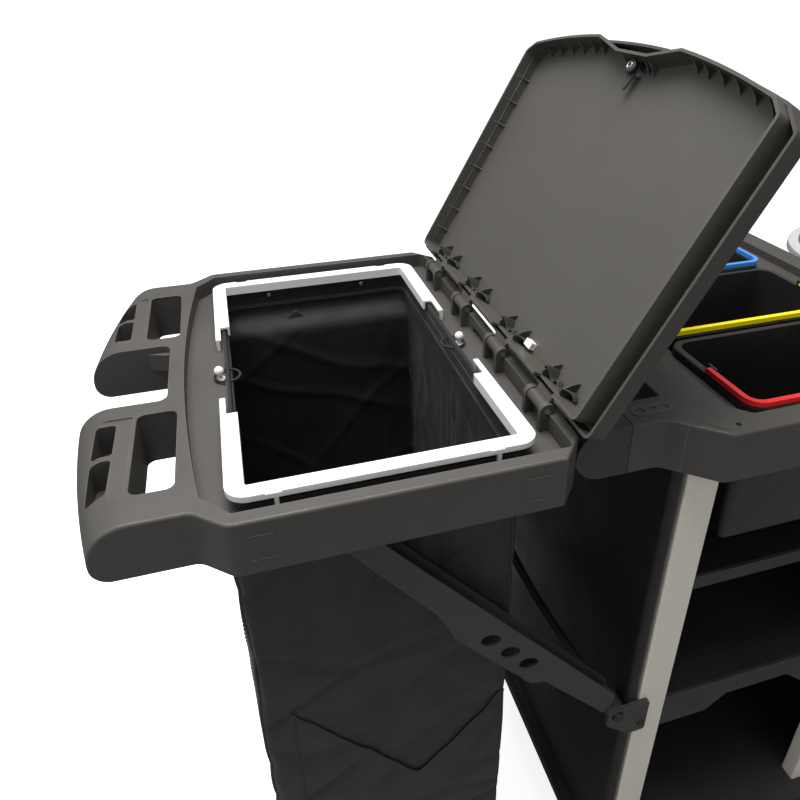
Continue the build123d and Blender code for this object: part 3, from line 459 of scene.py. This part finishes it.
def tubeAlong(points, radius, sides=8, closed=False):
    # Vertices and faces of a round tube that follows points in metres.
    pts = [Vector(p) for p in points]
    verts, faces, count = [], [], len(pts)
    side = None
    for i, p in enumerate(pts):
        ahead = pts[(i + 1) % count] if closed or i < count - 1 else p
        behind = pts[i - 1] if closed or i > 0 else p
        run = (ahead - behind).normalized()
        if side is None:
            side = run.orthogonal().normalized()
        side = (side - run * side.dot(run)).normalized()
        other = run.cross(side)
        for k in range(sides):
            a = 2 * math.pi * k / sides
            verts.append(p + (side * math.cos(a) + other * math.sin(a)) * radius)
    rows = count + (1 if closed else 0)
    for r in range(rows - 1):
        for k in range(sides):
            a, b = r * sides, ((r + 1) % count) * sides
            faces.append((a + k, a + (k + 1) % sides, b + (k + 1) % sides, b + k))
    if not closed:
        faces.append(tuple(range(sides)))
        faces.append(tuple((count - 1) * sides + k for k in reversed(range(sides))))
    return verts, faces


def gather(parts):
    # One list of vertices and faces from several.
    verts, faces = [], []
    for v, f in parts:
        start = len(verts)
        verts += v
        faces += [tuple(i + start for i in face) for face in f]
    return verts, faces


def prism(outline, low, high, place):
    # A prism on a 2D outline: place maps (a, b, t) to a point, t between low and high.
    n = len(outline)
    verts = [place(a, b, t) for t in (low, high) for a, b in outline]
    faces = [tuple(range(n)), tuple(reversed(range(n, 2 * n)))]
    faces += [(i, (i + 1) % n, n + (i + 1) % n, n + i) for i in range(n)]
    return verts, faces


def softened(piece, width, segments=2):
    # A bevel modifier on a piece's edges, limited by angle.
    mod = piece.modifiers.new("softEdge", "BEVEL")
    mod.width, mod.segments, mod.limit_method = width, segments, "ANGLE"
    return piece


# repeats by geometry nodes


def repeatTree():
    tree = bpy.data.node_groups.new("repeatAtPoints", "GeometryNodeTree")
    sockets = (
        ("Geometry", "NodeSocketGeometry"), ("Shape", "NodeSocketObject"),
        ("Finish", "NodeSocketMaterial"), ("Turn spread", "NodeSocketFloat"), ("Seed", "NodeSocketInt"),
    )
    for name, kind in sockets:
        tree.interface.new_socket(name, in_out="INPUT", socket_type=kind)
    tree.interface.new_socket("Geometry", in_out="OUTPUT", socket_type="NodeSocketGeometry")
    new, link = tree.nodes.new, tree.links.new
    start, end = new("NodeGroupInput"), new("NodeGroupOutput")
    shape, turn = new("GeometryNodeObjectInfo"), new("GeometryNodeInputNamedAttribute")
    jitter = new("FunctionNodeRandomValue")
    turn.data_type = "FLOAT_VECTOR"
    turn.inputs["Name"].default_value = "turn"
    place, spin = new("GeometryNodeInstanceOnPoints"), new("GeometryNodeRotateInstances")
    real, paint = new("GeometryNodeRealizeInstances"), new("GeometryNodeSetMaterial")
    axis = new("ShaderNodeCombineXYZ")
    spread = new("ShaderNodeMath")
    spread.operation = "MULTIPLY"
    jitter.data_type = "FLOAT"
    jitter.inputs[2].default_value, jitter.inputs[3].default_value = -1.0, 1.0
    link(start.outputs["Shape"], shape.inputs["Object"])
    link(start.outputs["Geometry"], place.inputs["Points"])
    link(shape.outputs["Geometry"], place.inputs["Instance"])
    link(turn.outputs["Attribute"], place.inputs["Rotation"])
    link(start.outputs["Seed"], jitter.inputs["Seed"])
    link(jitter.outputs[1], spread.inputs[0])
    link(start.outputs["Turn spread"], spread.inputs[1])
    link(spread.outputs[0], axis.inputs["Z"])
    link(place.outputs["Instances"], spin.inputs["Instances"])
    link(axis.outputs["Vector"], spin.inputs["Rotation"])
    link(spin.outputs["Instances"], real.inputs["Geometry"])
    link(real.outputs["Geometry"], paint.inputs["Geometry"])
    link(start.outputs["Finish"], paint.inputs["Material"])
    link(paint.outputs["Geometry"], end.inputs["Geometry"])
    return tree


def repeated(name, shape, places, body, finish, spread=0.0, seed=4, smooth=False):
    # One mesh of a shape set at places, each a point and an euler turn.
    mesh = bpy.data.meshes.new(name + "Points")
    mesh.from_pydata([tuple(p) for p, turn in places], [], [])
    field = mesh.attributes.new("turn", "FLOAT_VECTOR", "POINT")
    field.data.foreach_set("vector", [c for p, turn in places for c in turn])
    points = bpy.data.objects.new(name + "Points", mesh)
    model = bpy.data.objects.new(name + "Shape", shape)
    for holder in (points, model):
        scene.collection.objects.link(holder)
    mod = points.modifiers.new("repeat", "NODES")
    mod.node_group = bpy.data.node_groups.get("repeatAtPoints") or repeatTree()
    values = {"Shape": model, "Finish": finishes[finish], "Turn spread": spread, "Seed": seed}
    for item in mod.node_group.interface.items_tree:
        if item.in_out == "INPUT" and item.name in values:
            mod[item.identifier] = values[item.name]
    bpy.context.view_layer.update()
    done = bpy.data.meshes.new_from_object(points.evaluated_get(bpy.context.evaluated_depsgraph_get()))
    done.name = name
    for holder in (points, model):
        bpy.data.objects.remove(holder)
    if "turn" in done.attributes:
        done.attributes.remove(done.attributes["turn"])
    return newPiece(name, done, body, None, smooth)


def turnOf(matrix):
    return tuple(matrix.to_euler())


def facing(normal, up=(0, 0, 1)):
    # Turn that sets a shape's +Z along normal and its +Y near up.
    z = Vector(normal).normalized()
    x = Vector(up).cross(z)
    x = x.normalized() if x.length > 1e-6 else Vector((1, 0, 0))
    return turnOf(Matrix((x, z.cross(x), z)).transposed())


def screwShape(radius, height):
    # A pan-head screw with a cross recess, its seat at the origin.
    bm = bmesh.new()
    rings, count = [], 24
    for r, h in ((1.0, 0.0), (1.0, 0.35), (0.93, 0.7), (0.75, 0.93), (0.5, 1.0)):
        rings.append([bm.verts.new((radius * r * math.cos(a), radius * r * math.sin(a), height * h))
                      for a in (2 * math.pi * k / count for k in range(count))])
    for low, high in zip(rings, rings[1:]):
        for k in range(count):
            bm.faces.new((low[k], low[(k + 1) % count], high[(k + 1) % count], high[k]))
    cross = []
    for k in range(count):
        a = 2 * math.pi * k / count
        reach = 0.46 if k % 6 == 0 else 0.14 if k % 6 == 3 else 0.3
        far = radius * reach
        cross.append(bm.verts.new((far * math.cos(a), far * math.sin(a), height * 0.96)))
    deep = [bm.verts.new((v.co.x * 0.7, v.co.y * 0.7, height * 0.35)) for v in cross]
    for k in range(count):
        j = (k + 1) % count
        bm.faces.new((rings[-1][k], rings[-1][j], cross[j], cross[k]))
        bm.faces.new((cross[k], cross[j], deep[j], deep[k]))
    bm.faces.new(list(reversed(deep)))
    bm.faces.new(list(reversed(rings[0])))
    bmesh.ops.recalc_face_normals(bm, faces=bm.faces)
    mesh = bpy.data.meshes.new("screwShape")
    bm.to_mesh(mesh)
    bm.free()
    return mesh


def gussetShape(reach, rise, thickness):
    # A triangular web with a hollowed long side: reach along +X, rise along +Z.
    steps = 6
    outline = [(0, 0), (reach, 0)]
    for k in range(1, steps):
        t = k / steps
        sag = 0.18 * math.sin(math.pi * t)
        outline.append((reach * (1 - t) * (1 - sag), rise * t * (1 - sag)))
    outline.append((0, rise))
    half = thickness / 2
    verts, faces = prism(outline, -half, half, lambda a, b, t: (a * mm, t * mm, b * mm))
    return tidyMesh("gussetShape", verts, faces)


def frameShape(width, height, line, rise):
    # A thin raised outline with rounded corners, in the XY plane.
    def ring(w, h, r):
        pts = []
        for cx, cy, a0 in ((1, 1, 0), (-1, 1, 90), (-1, -1, 180), (1, -1, 270)):
            for k in range(4):
                a = math.radians(a0 + 30 * k)
                pts.append((cx * (w / 2 - r) + r * math.cos(a), cy * (h / 2 - r) + r * math.sin(a)))
        return pts
    rings = [ring(width, height, 3), ring(width - line * 0.5, height - line * 0.5, 2.8),
             ring(width - line * 1.5, height - line * 1.5, 2.3), ring(width - line * 2, height - line * 2, 2)]
    heights = (-0.15, rise, rise, -0.15)
    verts = [(x * mm, y * mm, z * mm) for pts, z in zip(rings, heights) for x, y in pts]
    faces = gridFaces(4, 16, True)
    return tidyMesh("frameShape", verts, faces)


# lid

lidInner = dict(panel=17.3, rim=-7.7, half=246, near=20.3, side=319, corner=(13, 17), bow=27)


def freeEdge(y):
    # Distance along the lid of the liner's bowed free edge, inside its wall.
    half = lidInner["half"] - lidInner["corner"][1]
    start = lidInner["side"] + lidInner["corner"][0]
    return start + lidInner["bow"] * (1 - (y / half) ** 2) - 1


def webTurn(inward):
    # Turn that lays a gusset's foot along inward and its rise out of the panel.
    inside = -lidFrame.col[2]
    return turnOf(Matrix((inward, inside.cross(inward), inside)).transposed())


def makeLidRibs():
    # Webs between the liner's panel and its skirt: along the far, near and free sides.
    panel = lidInner["panel"] + 0.2
    sides, webs = [], []
    for side in (-1, 1):
        turn = webTurn(Vector((0, -side, 0)))
        sides += [(onLid(s, side * (lidInner["half"] + 0.4), panel), turn) for s in range(50, 318, 34)]
    repeated("lid_side_ribs", gussetShape(6, 22, 1.3), sides, "lid", "rib")
    turn = webTurn(-lidFrame.col[0])
    for y in (-216, -190, -164, -138, -112, -92, 92, 112, 138, 164, 190, 216):
        webs.append((onLid(freeEdge(y) + 0.6, y, panel), turn))
    webs += [(onLid(freeEdge(y) - 14.4, y, panel), turn) for y in (-26, -16, 16, 26)]
    repeated("lid_edge_webs", gussetShape(10, 17, 1.3), webs, "lid", "rib")
    line = [onLid(s, lidInner["half"] - 0.3, 6) for s in (30, 120, 220, 318)]
    verts, faces = tubeAlong(line, 0.0004, 6)
    newPiece("lid_skirt_line", tidyMesh("lid_skirt_line", verts, faces), "lid", "rib")


def makeLidWaves():
    # A thin wavy wall over each knuckle notch, its two crests beside the notch.
    parts = []
    foot, steps = lidInner["panel"] + 0.2, 48
    for centre, crest in ((180, -1), (61, -1), (-61, -1), (-180, -1)):
        verts = []
        for k in range(steps + 1):
            t = 2 * k / steps - 1
            y = centre + 31 * t
            wave = math.exp(-((abs(t) - 0.66) / 0.2) ** 2)
            top = foot - 5 - (foot - crest - 5) * min(1, wave + 0.34 * max(0, 1 - abs(t) * 1.4))
            s = 22 + 7 * wave + 2.5 * math.sin(4 * math.pi * t)
            for h, shift in ((foot, 0), (top + 1, 0), (top, 0.5), (top, 1.1), (top + 1, 1.6), (foot, 1.6)):
                verts.append(onLid(s + shift, y, h))
        last = 6 * steps
        faces = gridFaces(steps + 1, 6, True) + [tuple(range(6)), tuple(last + k for k in range(6))]
        parts.append((verts, faces))
        for y in (centre - 20, centre + 20):
            outline = [(20.4, foot), (39, foot), (38, foot - 4), (34, foot - 10),
                       (30, crest + 5), (27, crest + 1), (24, crest), (20.4, crest + 3)]
            parts.append(prism(outline, y - 0.7, y + 0.7, lambda a, b, t: onLid(a, t, b)))
    verts, faces = gather(parts)
    mesh = tidyMesh("lid_wave_gussets", verts, faces)
    newPiece("lid_wave_gussets", mesh, "lid", "cap", False)


def makeLockNut():
    # The dark nut and bright ring that hold the cam on the lock.
    inside = -lidFrame.col[2]
    centre = onLid(335, 0, 2.9)
    places = [(centre, facing(inside))]
    repeated("lock_nut", screwShape(8.5 * mm, 3.4 * mm), places, "lock_cam", "cap", 0, 5, True)
    across, along = Vector((0, 1, 0)), lidFrame.col[0]
    ring = [centre + inside * 3.4 * mm + (across * math.cos(a) + along * math.sin(a)) * 3.6 * mm
            for a in (2 * math.pi * k / 24 for k in range(24))]
    verts, faces = tubeAlong(ring, 0.0007, 8, True)
    newPiece("lock_ring", tidyMesh("lock_ring", verts, faces), "lock_cam", "chrome")


def makeLidGate():
    # The little moulding mark in the middle of the panel.
    bm = bmesh.new()
    centre = onLid(176, 22, lidInner["panel"] - 0.1)
    ring = []
    angles = [2 * math.pi * k / 20 for k in range(20)]
    for r, rise in ((2.6, 0), (2.0, 0.35), (0.8, 0.1)):
        circle = [Vector((r * mm * math.cos(a), r * mm * math.sin(a), -rise * mm)) for a in angles]
        ring.append([bm.verts.new(centre + lidFrame @ v) for v in circle])
    for low, high in zip(ring, ring[1:]):
        for k in range(20):
            bm.faces.new((low[k], low[(k + 1) % 20], high[(k + 1) % 20], high[k]))
    bm.faces.new(ring[-1])
    bmesh.ops.recalc_face_normals(bm, faces=bm.faces)
    mesh = bpy.data.meshes.new("lid_gate_mark")
    bm.to_mesh(mesh)
    bm.free()
    newPiece("lid_gate_mark", mesh, "lid", "lid")


# platform details


def makePlugs():
    # The blanking plugs' outlines in the skirts and arms.
    outline = frameShape(24, 27, 0.7, 0.35)
    near, far = (0, -1, 0), (0, 1, 0)
    places = [(at(-52, s * 270, -29), facing((0, s, 0))) for s in (-1, 1)]
    places += [(at(-300, s * 270, -29), facing((0, s, 0))) for s in (-1, 1)]
    repeated("platform_plugs", outline, places, "platform", "frame")
    arms = [(at(75, s * 242.6, -22), facing((0, s, 0))) for s in (-1, 1)]
    repeated("arm_plugs", frameShape(24, 22, 0.7, 0.3), arms, "cart", "frame")


def makePlatformScrews():
    # Small screws that hold the collar, brackets and ends.
    places = [(at(x, s * 228.6, -25), facing((0, -s, 0))) for s in (-1, 1) for x in (-250, -115)]
    head = screwShape(3.2 * mm, 1.6 * mm)
    repeated("collar_screws", head, places, "platform", "steel", 1.5, 7, True)
    dome = [(at(-34, 262.5, 0), (0, 0, 0)), (at(-318, 262.5, 0), (0, 0, 0))]
    stud = screwShape(2.6 * mm, 1.2 * mm)
    repeated("rim_studs", stud, dome, "platform", "frame", 1.5, 3, True)


def makeHandleDetail():
    # Webs inside the notch and the rolled edge of each grip loop.
    parts = []
    for side in (-1, 1):
        inner = 61 * side
        outline = [(-377, 0), (-402, 0), (-398, 2 * side), (-377, 9 * side)]
        parts.append(prism([(x, inner - y) for x, y in outline], -30, -8, lambda a, b, t: at(a, b, t)))
    verts, faces = gather(parts)
    mesh = tidyMesh("notch_webs", verts, faces)
    piece = newPiece("notch_webs", mesh, "platform", "frame", False)
    softened(piece, 0.0008)
    loops = []
    for side in (-1, 1):
        x0, x1, y0, y1, r = -404.6, -364.4, 81.4, 208.6, 9.6
        path = []
        right, left, high, low = x1 - r, x0 + r, y1 - r, y0 + r
        for cx, cy, a0 in ((right, high, 0), (left, high, 90), (left, low, 180), (right, low, 270)):
            for k in range(7):
                a = math.radians(a0 + 15 * k)
                path.append(at(cx + r * math.cos(a), side * (cy + r * math.sin(a)), -1.2))
        loops.append(tubeAlong(path, 0.0013, 8, True))
    verts, faces = gather(loops)
    newPiece("grip_edges", tidyMesh("grip_edges", verts, faces), "platform", "frame")


def makeSeamLip():
    # The raised seam where each hinge cap meets its arm.
    parts = []
    for side in (-1, 1):
        y = 242.9 * side
        path = [at(58, y, z) for z in (-57, -40, -20, -1)] + [at(58, y - side * d, 0.1) for d in (3, 20, 40)]
        parts.append(tubeAlong(path, 0.0005, 6))
    verts, faces = gather(parts)
    newPiece("arm_seams", tidyMesh("arm_seams", verts, faces), "cart", "cap")


# bag

bagCut = dict(neck=(-314.1, -48.9, 231), body=(-335.5, -42.5, 214.5), neckDrop=-50, top=-9.6, bottom=-758,
              around=264, down=150, corner=11)


def bagPlan(u, level):
    # Plan point and outward direction at u (0 to 1 round the bag) on a level between neck and body.
    x0, x1, half = (a + (b - a) * level for a, b in zip(bagCut["neck"], bagCut["body"]))
    r = 14 + (bagCut["corner"] - 14) * level
    straight = ((x1 - x0) - 2 * r, 2 * half - 2 * r)
    arc = math.pi * r / 2
    runs = (straight[0], arc, straight[1], arc) * 2
    where = u * sum(runs)
    right, left, inner = x1 - r, x0 + r, half - r
    corners = ((right, -inner, -90), (right, inner, 0), (left, inner, 90), (left, -inner, 180))
    starts = ((x0 + r, -half, 1, 0), (x1, -half + r, 0, 1), (x1 - r, half, -1, 0), (x0, half - r, 0, -1))
    for k in range(4):
        x, y, dx, dy = starts[k]
        if where <= runs[2 * k]:
            return x + dx * where, y + dy * where, dy, -dx
        where -= runs[2 * k]
        if where <= arc:
            cx, cy, a0 = corners[k]
            a = math.radians(a0) + where / r
            return cx + r * math.cos(a), cy + r * math.sin(a), math.cos(a), math.sin(a)
        where -= arc
    return x0 + r, -half, 0, -1


def smoothStep(t):
    t = min(1, max(0, t))
    return t * t * (3 - 2 * t)


def bagFolds(u, z):
    # How far the cloth draws in: gathers under the hem, long drapes and a few crossing creases.
    depth = (bagCut["top"] - z) / (bagCut["top"] - bagCut["bottom"])
    hang = smoothStep((-z - 52) / 60)
    a = 2 * math.pi * u
    drape = noise.noise(Vector((math.cos(a) * 3.2, math.sin(a) * 3.2, z * 0.0022))) * 4.0
    gathers = abs(noise.noise(Vector((math.cos(a) * 8, math.sin(a) * 8, z * 0.003))))
    gathers *= 5 * math.exp(-depth * 3)
    crease = 0
    for slope, lift, reach, seed in ((0.004, 0.0042, 2.2, 3.3), (-0.006, 0.0055, 3.0, 9.1)):
        ridge = noise.noise(Vector((a * 1.5 + z * slope, z * lift, seed)))
        crease += (1 - min(1, abs(ridge) * 7)) ** 2 * reach
    sag = 5.0 * math.exp(-((z + 650) / 60) ** 2) * max(0, 0.4 + noise.noise(Vector((a * 1.3, 0.4, 7))))
    return hang * (0.3 + max(0, drape + 0.4) + gathers + crease + sag)


def bagPoint(u, z, out=0.0):
    level = smoothStep((-z - 50) / 34)
    x, y, nx, ny = bagPlan(u, level)
    pull = bagFolds(u, z) - out
    wall = 1 - smoothStep((-z - 746) / 14) * 0.04
    return at((x - nx * pull + 190) * wall - 190, (y - ny * pull) * wall, z)


def bagRuns():
    # The straight run along x, the one along y, a corner's arc and the whole way round.
    x0, x1, half = bagCut["body"]
    r = bagCut["corner"]
    a, b, arc = (x1 - x0) - 2 * r, 2 * half - 2 * r, math.pi * r / 2
    return a, b, arc, 2 * (a + b) + 4 * arc


def bagAlong(x, z, out):
    # A point on the bag's near face at x.
    start = bagCut["body"][0] + bagCut["corner"]
    if x <= start:
        return bagPoint(0, z, out)
    p = bagPoint((x - start) / bagRuns()[3], z, out)
    return Vector((at(x, 0, 0).x, p.y, p.z))


def makeBag():
    around, down = bagCut["around"], bagCut["down"]
    levels = [bagCut["top"] - 1.2, bagCut["top"], bagCut["top"]]
    verts = []
    for row, z in enumerate(levels):
        for c in range(around):
            x, y, nx, ny = bagPlan(c / around, 0)
            grow = (2.6, 2.4, -0.8)[row]
            verts.append(at(x + nx * grow, y + ny * grow, z))
    for r in range(1, down + 1):
        z = bagCut["top"] + (bagCut["bottom"] - bagCut["top"]) * (r / down)
        verts += [bagPoint(c / around, z, -0.8 if z > -50 else 0) for c in range(around)]
    rows = len(levels) + down
    faces = gridFaces(rows, around, True)
    last = (rows - 1) * around
    rings = 14
    for k in range(1, rings + 1):
        shrink = 1 - k / rings
        dip = -1.5 * math.sin(math.pi * k / rings)
        for c in range(around):
            p = bagPoint(c / around, bagCut["bottom"])
            ripple = noise.noise(Vector((c / around * 9, k * 0.5, 2))) * 1.6 * shrink
            x, y = (p.x - at(-190, 0, 0).x) * max(shrink, 0.004), p.y * max(shrink, 0.004)
            height = at(0, 0, bagCut["bottom"] + dip + max(0, ripple)).z
            verts.append(Vector((at(-190, 0, 0).x + x, y, height)))
    faces += [tuple(i + last for i in face) for face in gridFaces(rings + 1, around, True)]
    faces.append(tuple(range(last + rings * around, last + (rings + 1) * around)))
    mesh = tidyMesh("bag_shell", verts, faces)
    piece = newPiece("bag_shell", mesh, "platform", "cloth")
    mod = piece.modifiers.new("clothThickness", "SOLIDIFY")
    mod.thickness, mod.offset = 0.0012, -1
    bakeModifiers(piece)
    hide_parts("bag")
    return piece


def bakeModifiers(piece):
    bpy.context.view_layer.update()
    done = bpy.data.meshes.new_from_object(piece.evaluated_get(bpy.context.evaluated_depsgraph_get()))
    piece.modifiers.clear()
    old = piece.data
    piece.data = done
    for face in done.polygons:
        face.use_smooth = True
    bpy.data.meshes.remove(old)


pocketEdge = ((-306, -326), (-286, -351), (-230, -425), (-159, -508), (-120, -478), (-75, -428), (-50, -398))


def pocketTop(x):
    for (x0, z0), (x1, z1) in zip(pocketEdge, pocketEdge[1:]):
        if x0 <= x <= x1:
            t = (x - x0) / (x1 - x0)
            return z0 + (z1 - z0) * smoothStep(t) * 0.3 + (z1 - z0) * t * 0.7
    return pocketEdge[0][1] if x < pocketEdge[0][0] else pocketEdge[-1][1]


def pocketPoint(x, t, lift=0.0):
    z = pocketTop(x) + (-742 - pocketTop(x)) * t
    gape = 1.5 * math.exp(-t * 9) * math.exp(-((x + 170) / 90) ** 2)
    ripple = noise.noise(Vector((x * 0.02, z * 0.012, 5))) * 1.0
    return bagAlong(x, z, 1.7 + gape + max(0, ripple) + lift)


def makePocket():
    columns, rows = 90, 90
    xs = [-300 + 254 * c / (columns - 1) for c in range(columns)]
    verts = [pocketPoint(x, r / (rows - 1)) for r in range(rows) for x in xs]
    mesh = tidyMesh("bag_pocket", verts, gridFaces(rows, columns, False))
    pocket = newPiece("bag_pocket", mesh, "platform", "cloth")
    mod = pocket.modifiers.new("clothThickness", "SOLIDIFY")
    mod.thickness, mod.offset = 0.0009, 0
    bakeModifiers(pocket)
    trim = [tubeAlong([pocketPoint(x, 0, 0.4) for x in xs], 0.0015, 7)]
    trim.append(tubeAlong([pocketPoint(-300, r / 60, 0.2) for r in range(61)], 0.0012, 7))
    trim.append(tubeAlong([pocketPoint(-46, r / 60, 0.2) for r in range(61)], 0.0012, 7))
    verts, faces = gather(trim)
    mesh = tidyMesh("pocket_piping", verts, faces)
    piping = newPiece("pocket_piping", mesh, "platform", "piping")
    return [pocket, piping]


def cornerU(k, share):
    # u at a share of the way round the k-th corner of the bag's body.
    a, b, arc, total = bagRuns()
    starts = (a, a + arc + b, 2 * a + 2 * arc + b, 2 * a + 3 * arc + 2 * b)
    return (starts[k] + arc * share) / total


seam = dict(top=-62, drop=690, steps=140, share=0.35, stand=1.0, radius=0.0017, base=-752, baseStand=0.8,
            around=200, hem=(-22, -38, -41), hemSteps=260, hemStand=-2.35, thread=0.00045)


def makeBagSeams():
    steps = seam["steps"]
    heights = [seam["top"] - seam["drop"] * k / steps for k in range(steps + 1)]
    seams = []
    for k in range(4):
        u = cornerU(k, seam["share"])
        seams.append(tubeAlong([bagPoint(u, z, seam["stand"]) for z in heights], seam["radius"], 7))
    count = seam["around"]
    base = [bagPoint(c / count, seam["base"], seam["baseStand"]) for c in range(count)]
    seams.append(tubeAlong(base, seam["radius"], 7, True))
    verts, faces = gather(seams)
    piping = newPiece("bag_piping", tidyMesh("bag_piping", verts, faces), "platform", "piping")
    hem, count = [], seam["hemSteps"]
    for z in seam["hem"]:
        line = [bagPoint(c / count, z, seam["hemStand"]) for c in range(count)]
        hem.append(tubeAlong(line, seam["thread"], 5, True))
    verts, faces = gather(hem)
    mesh = tidyMesh("bag_stitches", verts, faces)
    stitch = newPiece("bag_stitches", mesh, "platform", "thread")
    return [piping, stitch]


zipper = dict(
    place=168, half=9, rows=160, top=-70, drop=670, tape=0.0006,
    columns=(-1.0, -0.85, -0.3, 0.0, 0.3, 0.85, 1.0), rise=(0.2, 0.9, 0.9, 1.4, 0.9, 0.9, 0.2),
    teeth=210, firstTooth=-74, toothDrop=660, stagger=0.09, toothRise=1.7,
    tooth=((-0.9, -1.3), (0.9, -1.0), (1.1, 0), (0.9, 1.0), (-0.9, 1.3)),
)


def makeZip():
    # A zip down the end face: its tape and its staggered teeth.
    a, b, arc, total = bagRuns()
    middle = bagCut["body"][2] - bagCut["corner"] + zipper["place"]
    u = (2 * a + 3 * arc + b + middle) / total
    step = zipper["half"] / total
    rows, columns = zipper["rows"], zipper["columns"]
    heights = [zipper["top"] - zipper["drop"] * k / (rows - 1) for k in range(rows)]
    verts = [bagPoint(u + step * c, z, h) for z in heights for c, h in zip(columns, zipper["rise"])]
    mesh = tidyMesh("zip_tape", verts, gridFaces(rows, len(columns), False))
    tape = newPiece("zip_tape", mesh, "platform", "tape")
    mod = tape.modifiers.new("clothThickness", "SOLIDIFY")
    mod.thickness, mod.offset = zipper["tape"], 0
    bakeModifiers(tape)
    teeth, count = [], zipper["teeth"]
    for k in range(count):
        z = zipper["firstTooth"] - zipper["toothDrop"] * k / (count - 1)
        way = zipper["stagger"] if k % 2 else -zipper["stagger"]
        turn = (0, 0, math.pi if k % 2 else 0)
        teeth.append((bagPoint(u + step * way, z, zipper["toothRise"]), turn))
    verts, faces = prism(zipper["tooth"], -0.8, 0.8, lambda p, q, t: (p * mm, q * mm, t * mm))
    tooth = tidyMesh("tooth", verts, faces)
    coil = repeated("zip_teeth", tooth, teeth, "platform", "piping", 0.05, 11)
    return [tape, coil]


def squashBag(pieces):
    # Gives each of the bag's pieces a mesh of its own.
    for piece in pieces:
        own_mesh(piece)


# tub


tubKnob = dict(centre=700, reach=(141, 190), angle=205, rise=-3.4, radius=7, height=5)


def makeTubDetail():
    a = math.radians(tubKnob["angle"])
    reachX, reachY = tubKnob["reach"]
    centre = at(tubKnob["centre"] + reachX * math.cos(a), reachY * math.sin(a), tubKnob["rise"])
    shape = screwShape(tubKnob["radius"] * mm, tubKnob["height"] * mm)
    repeated("tub_knob", shape, [(centre, (0, 0, 0))], "waste_tub", "frame", 0, 2, True)


makeCamera()
makeLights()
makeFloor()
makeFinishes()
paintNodes()
makeLidRibs()
makeLidWaves()
makeLockNut()
makeLidGate()
makePlugs()
makePlatformScrews()
makeHandleDetail()
makeSeamLip()
soft = [makeBag(), *makePocket(), *makeBagSeams(), *makeZip()]
squashBag(soft)
makeTubDetail()
print("details made")
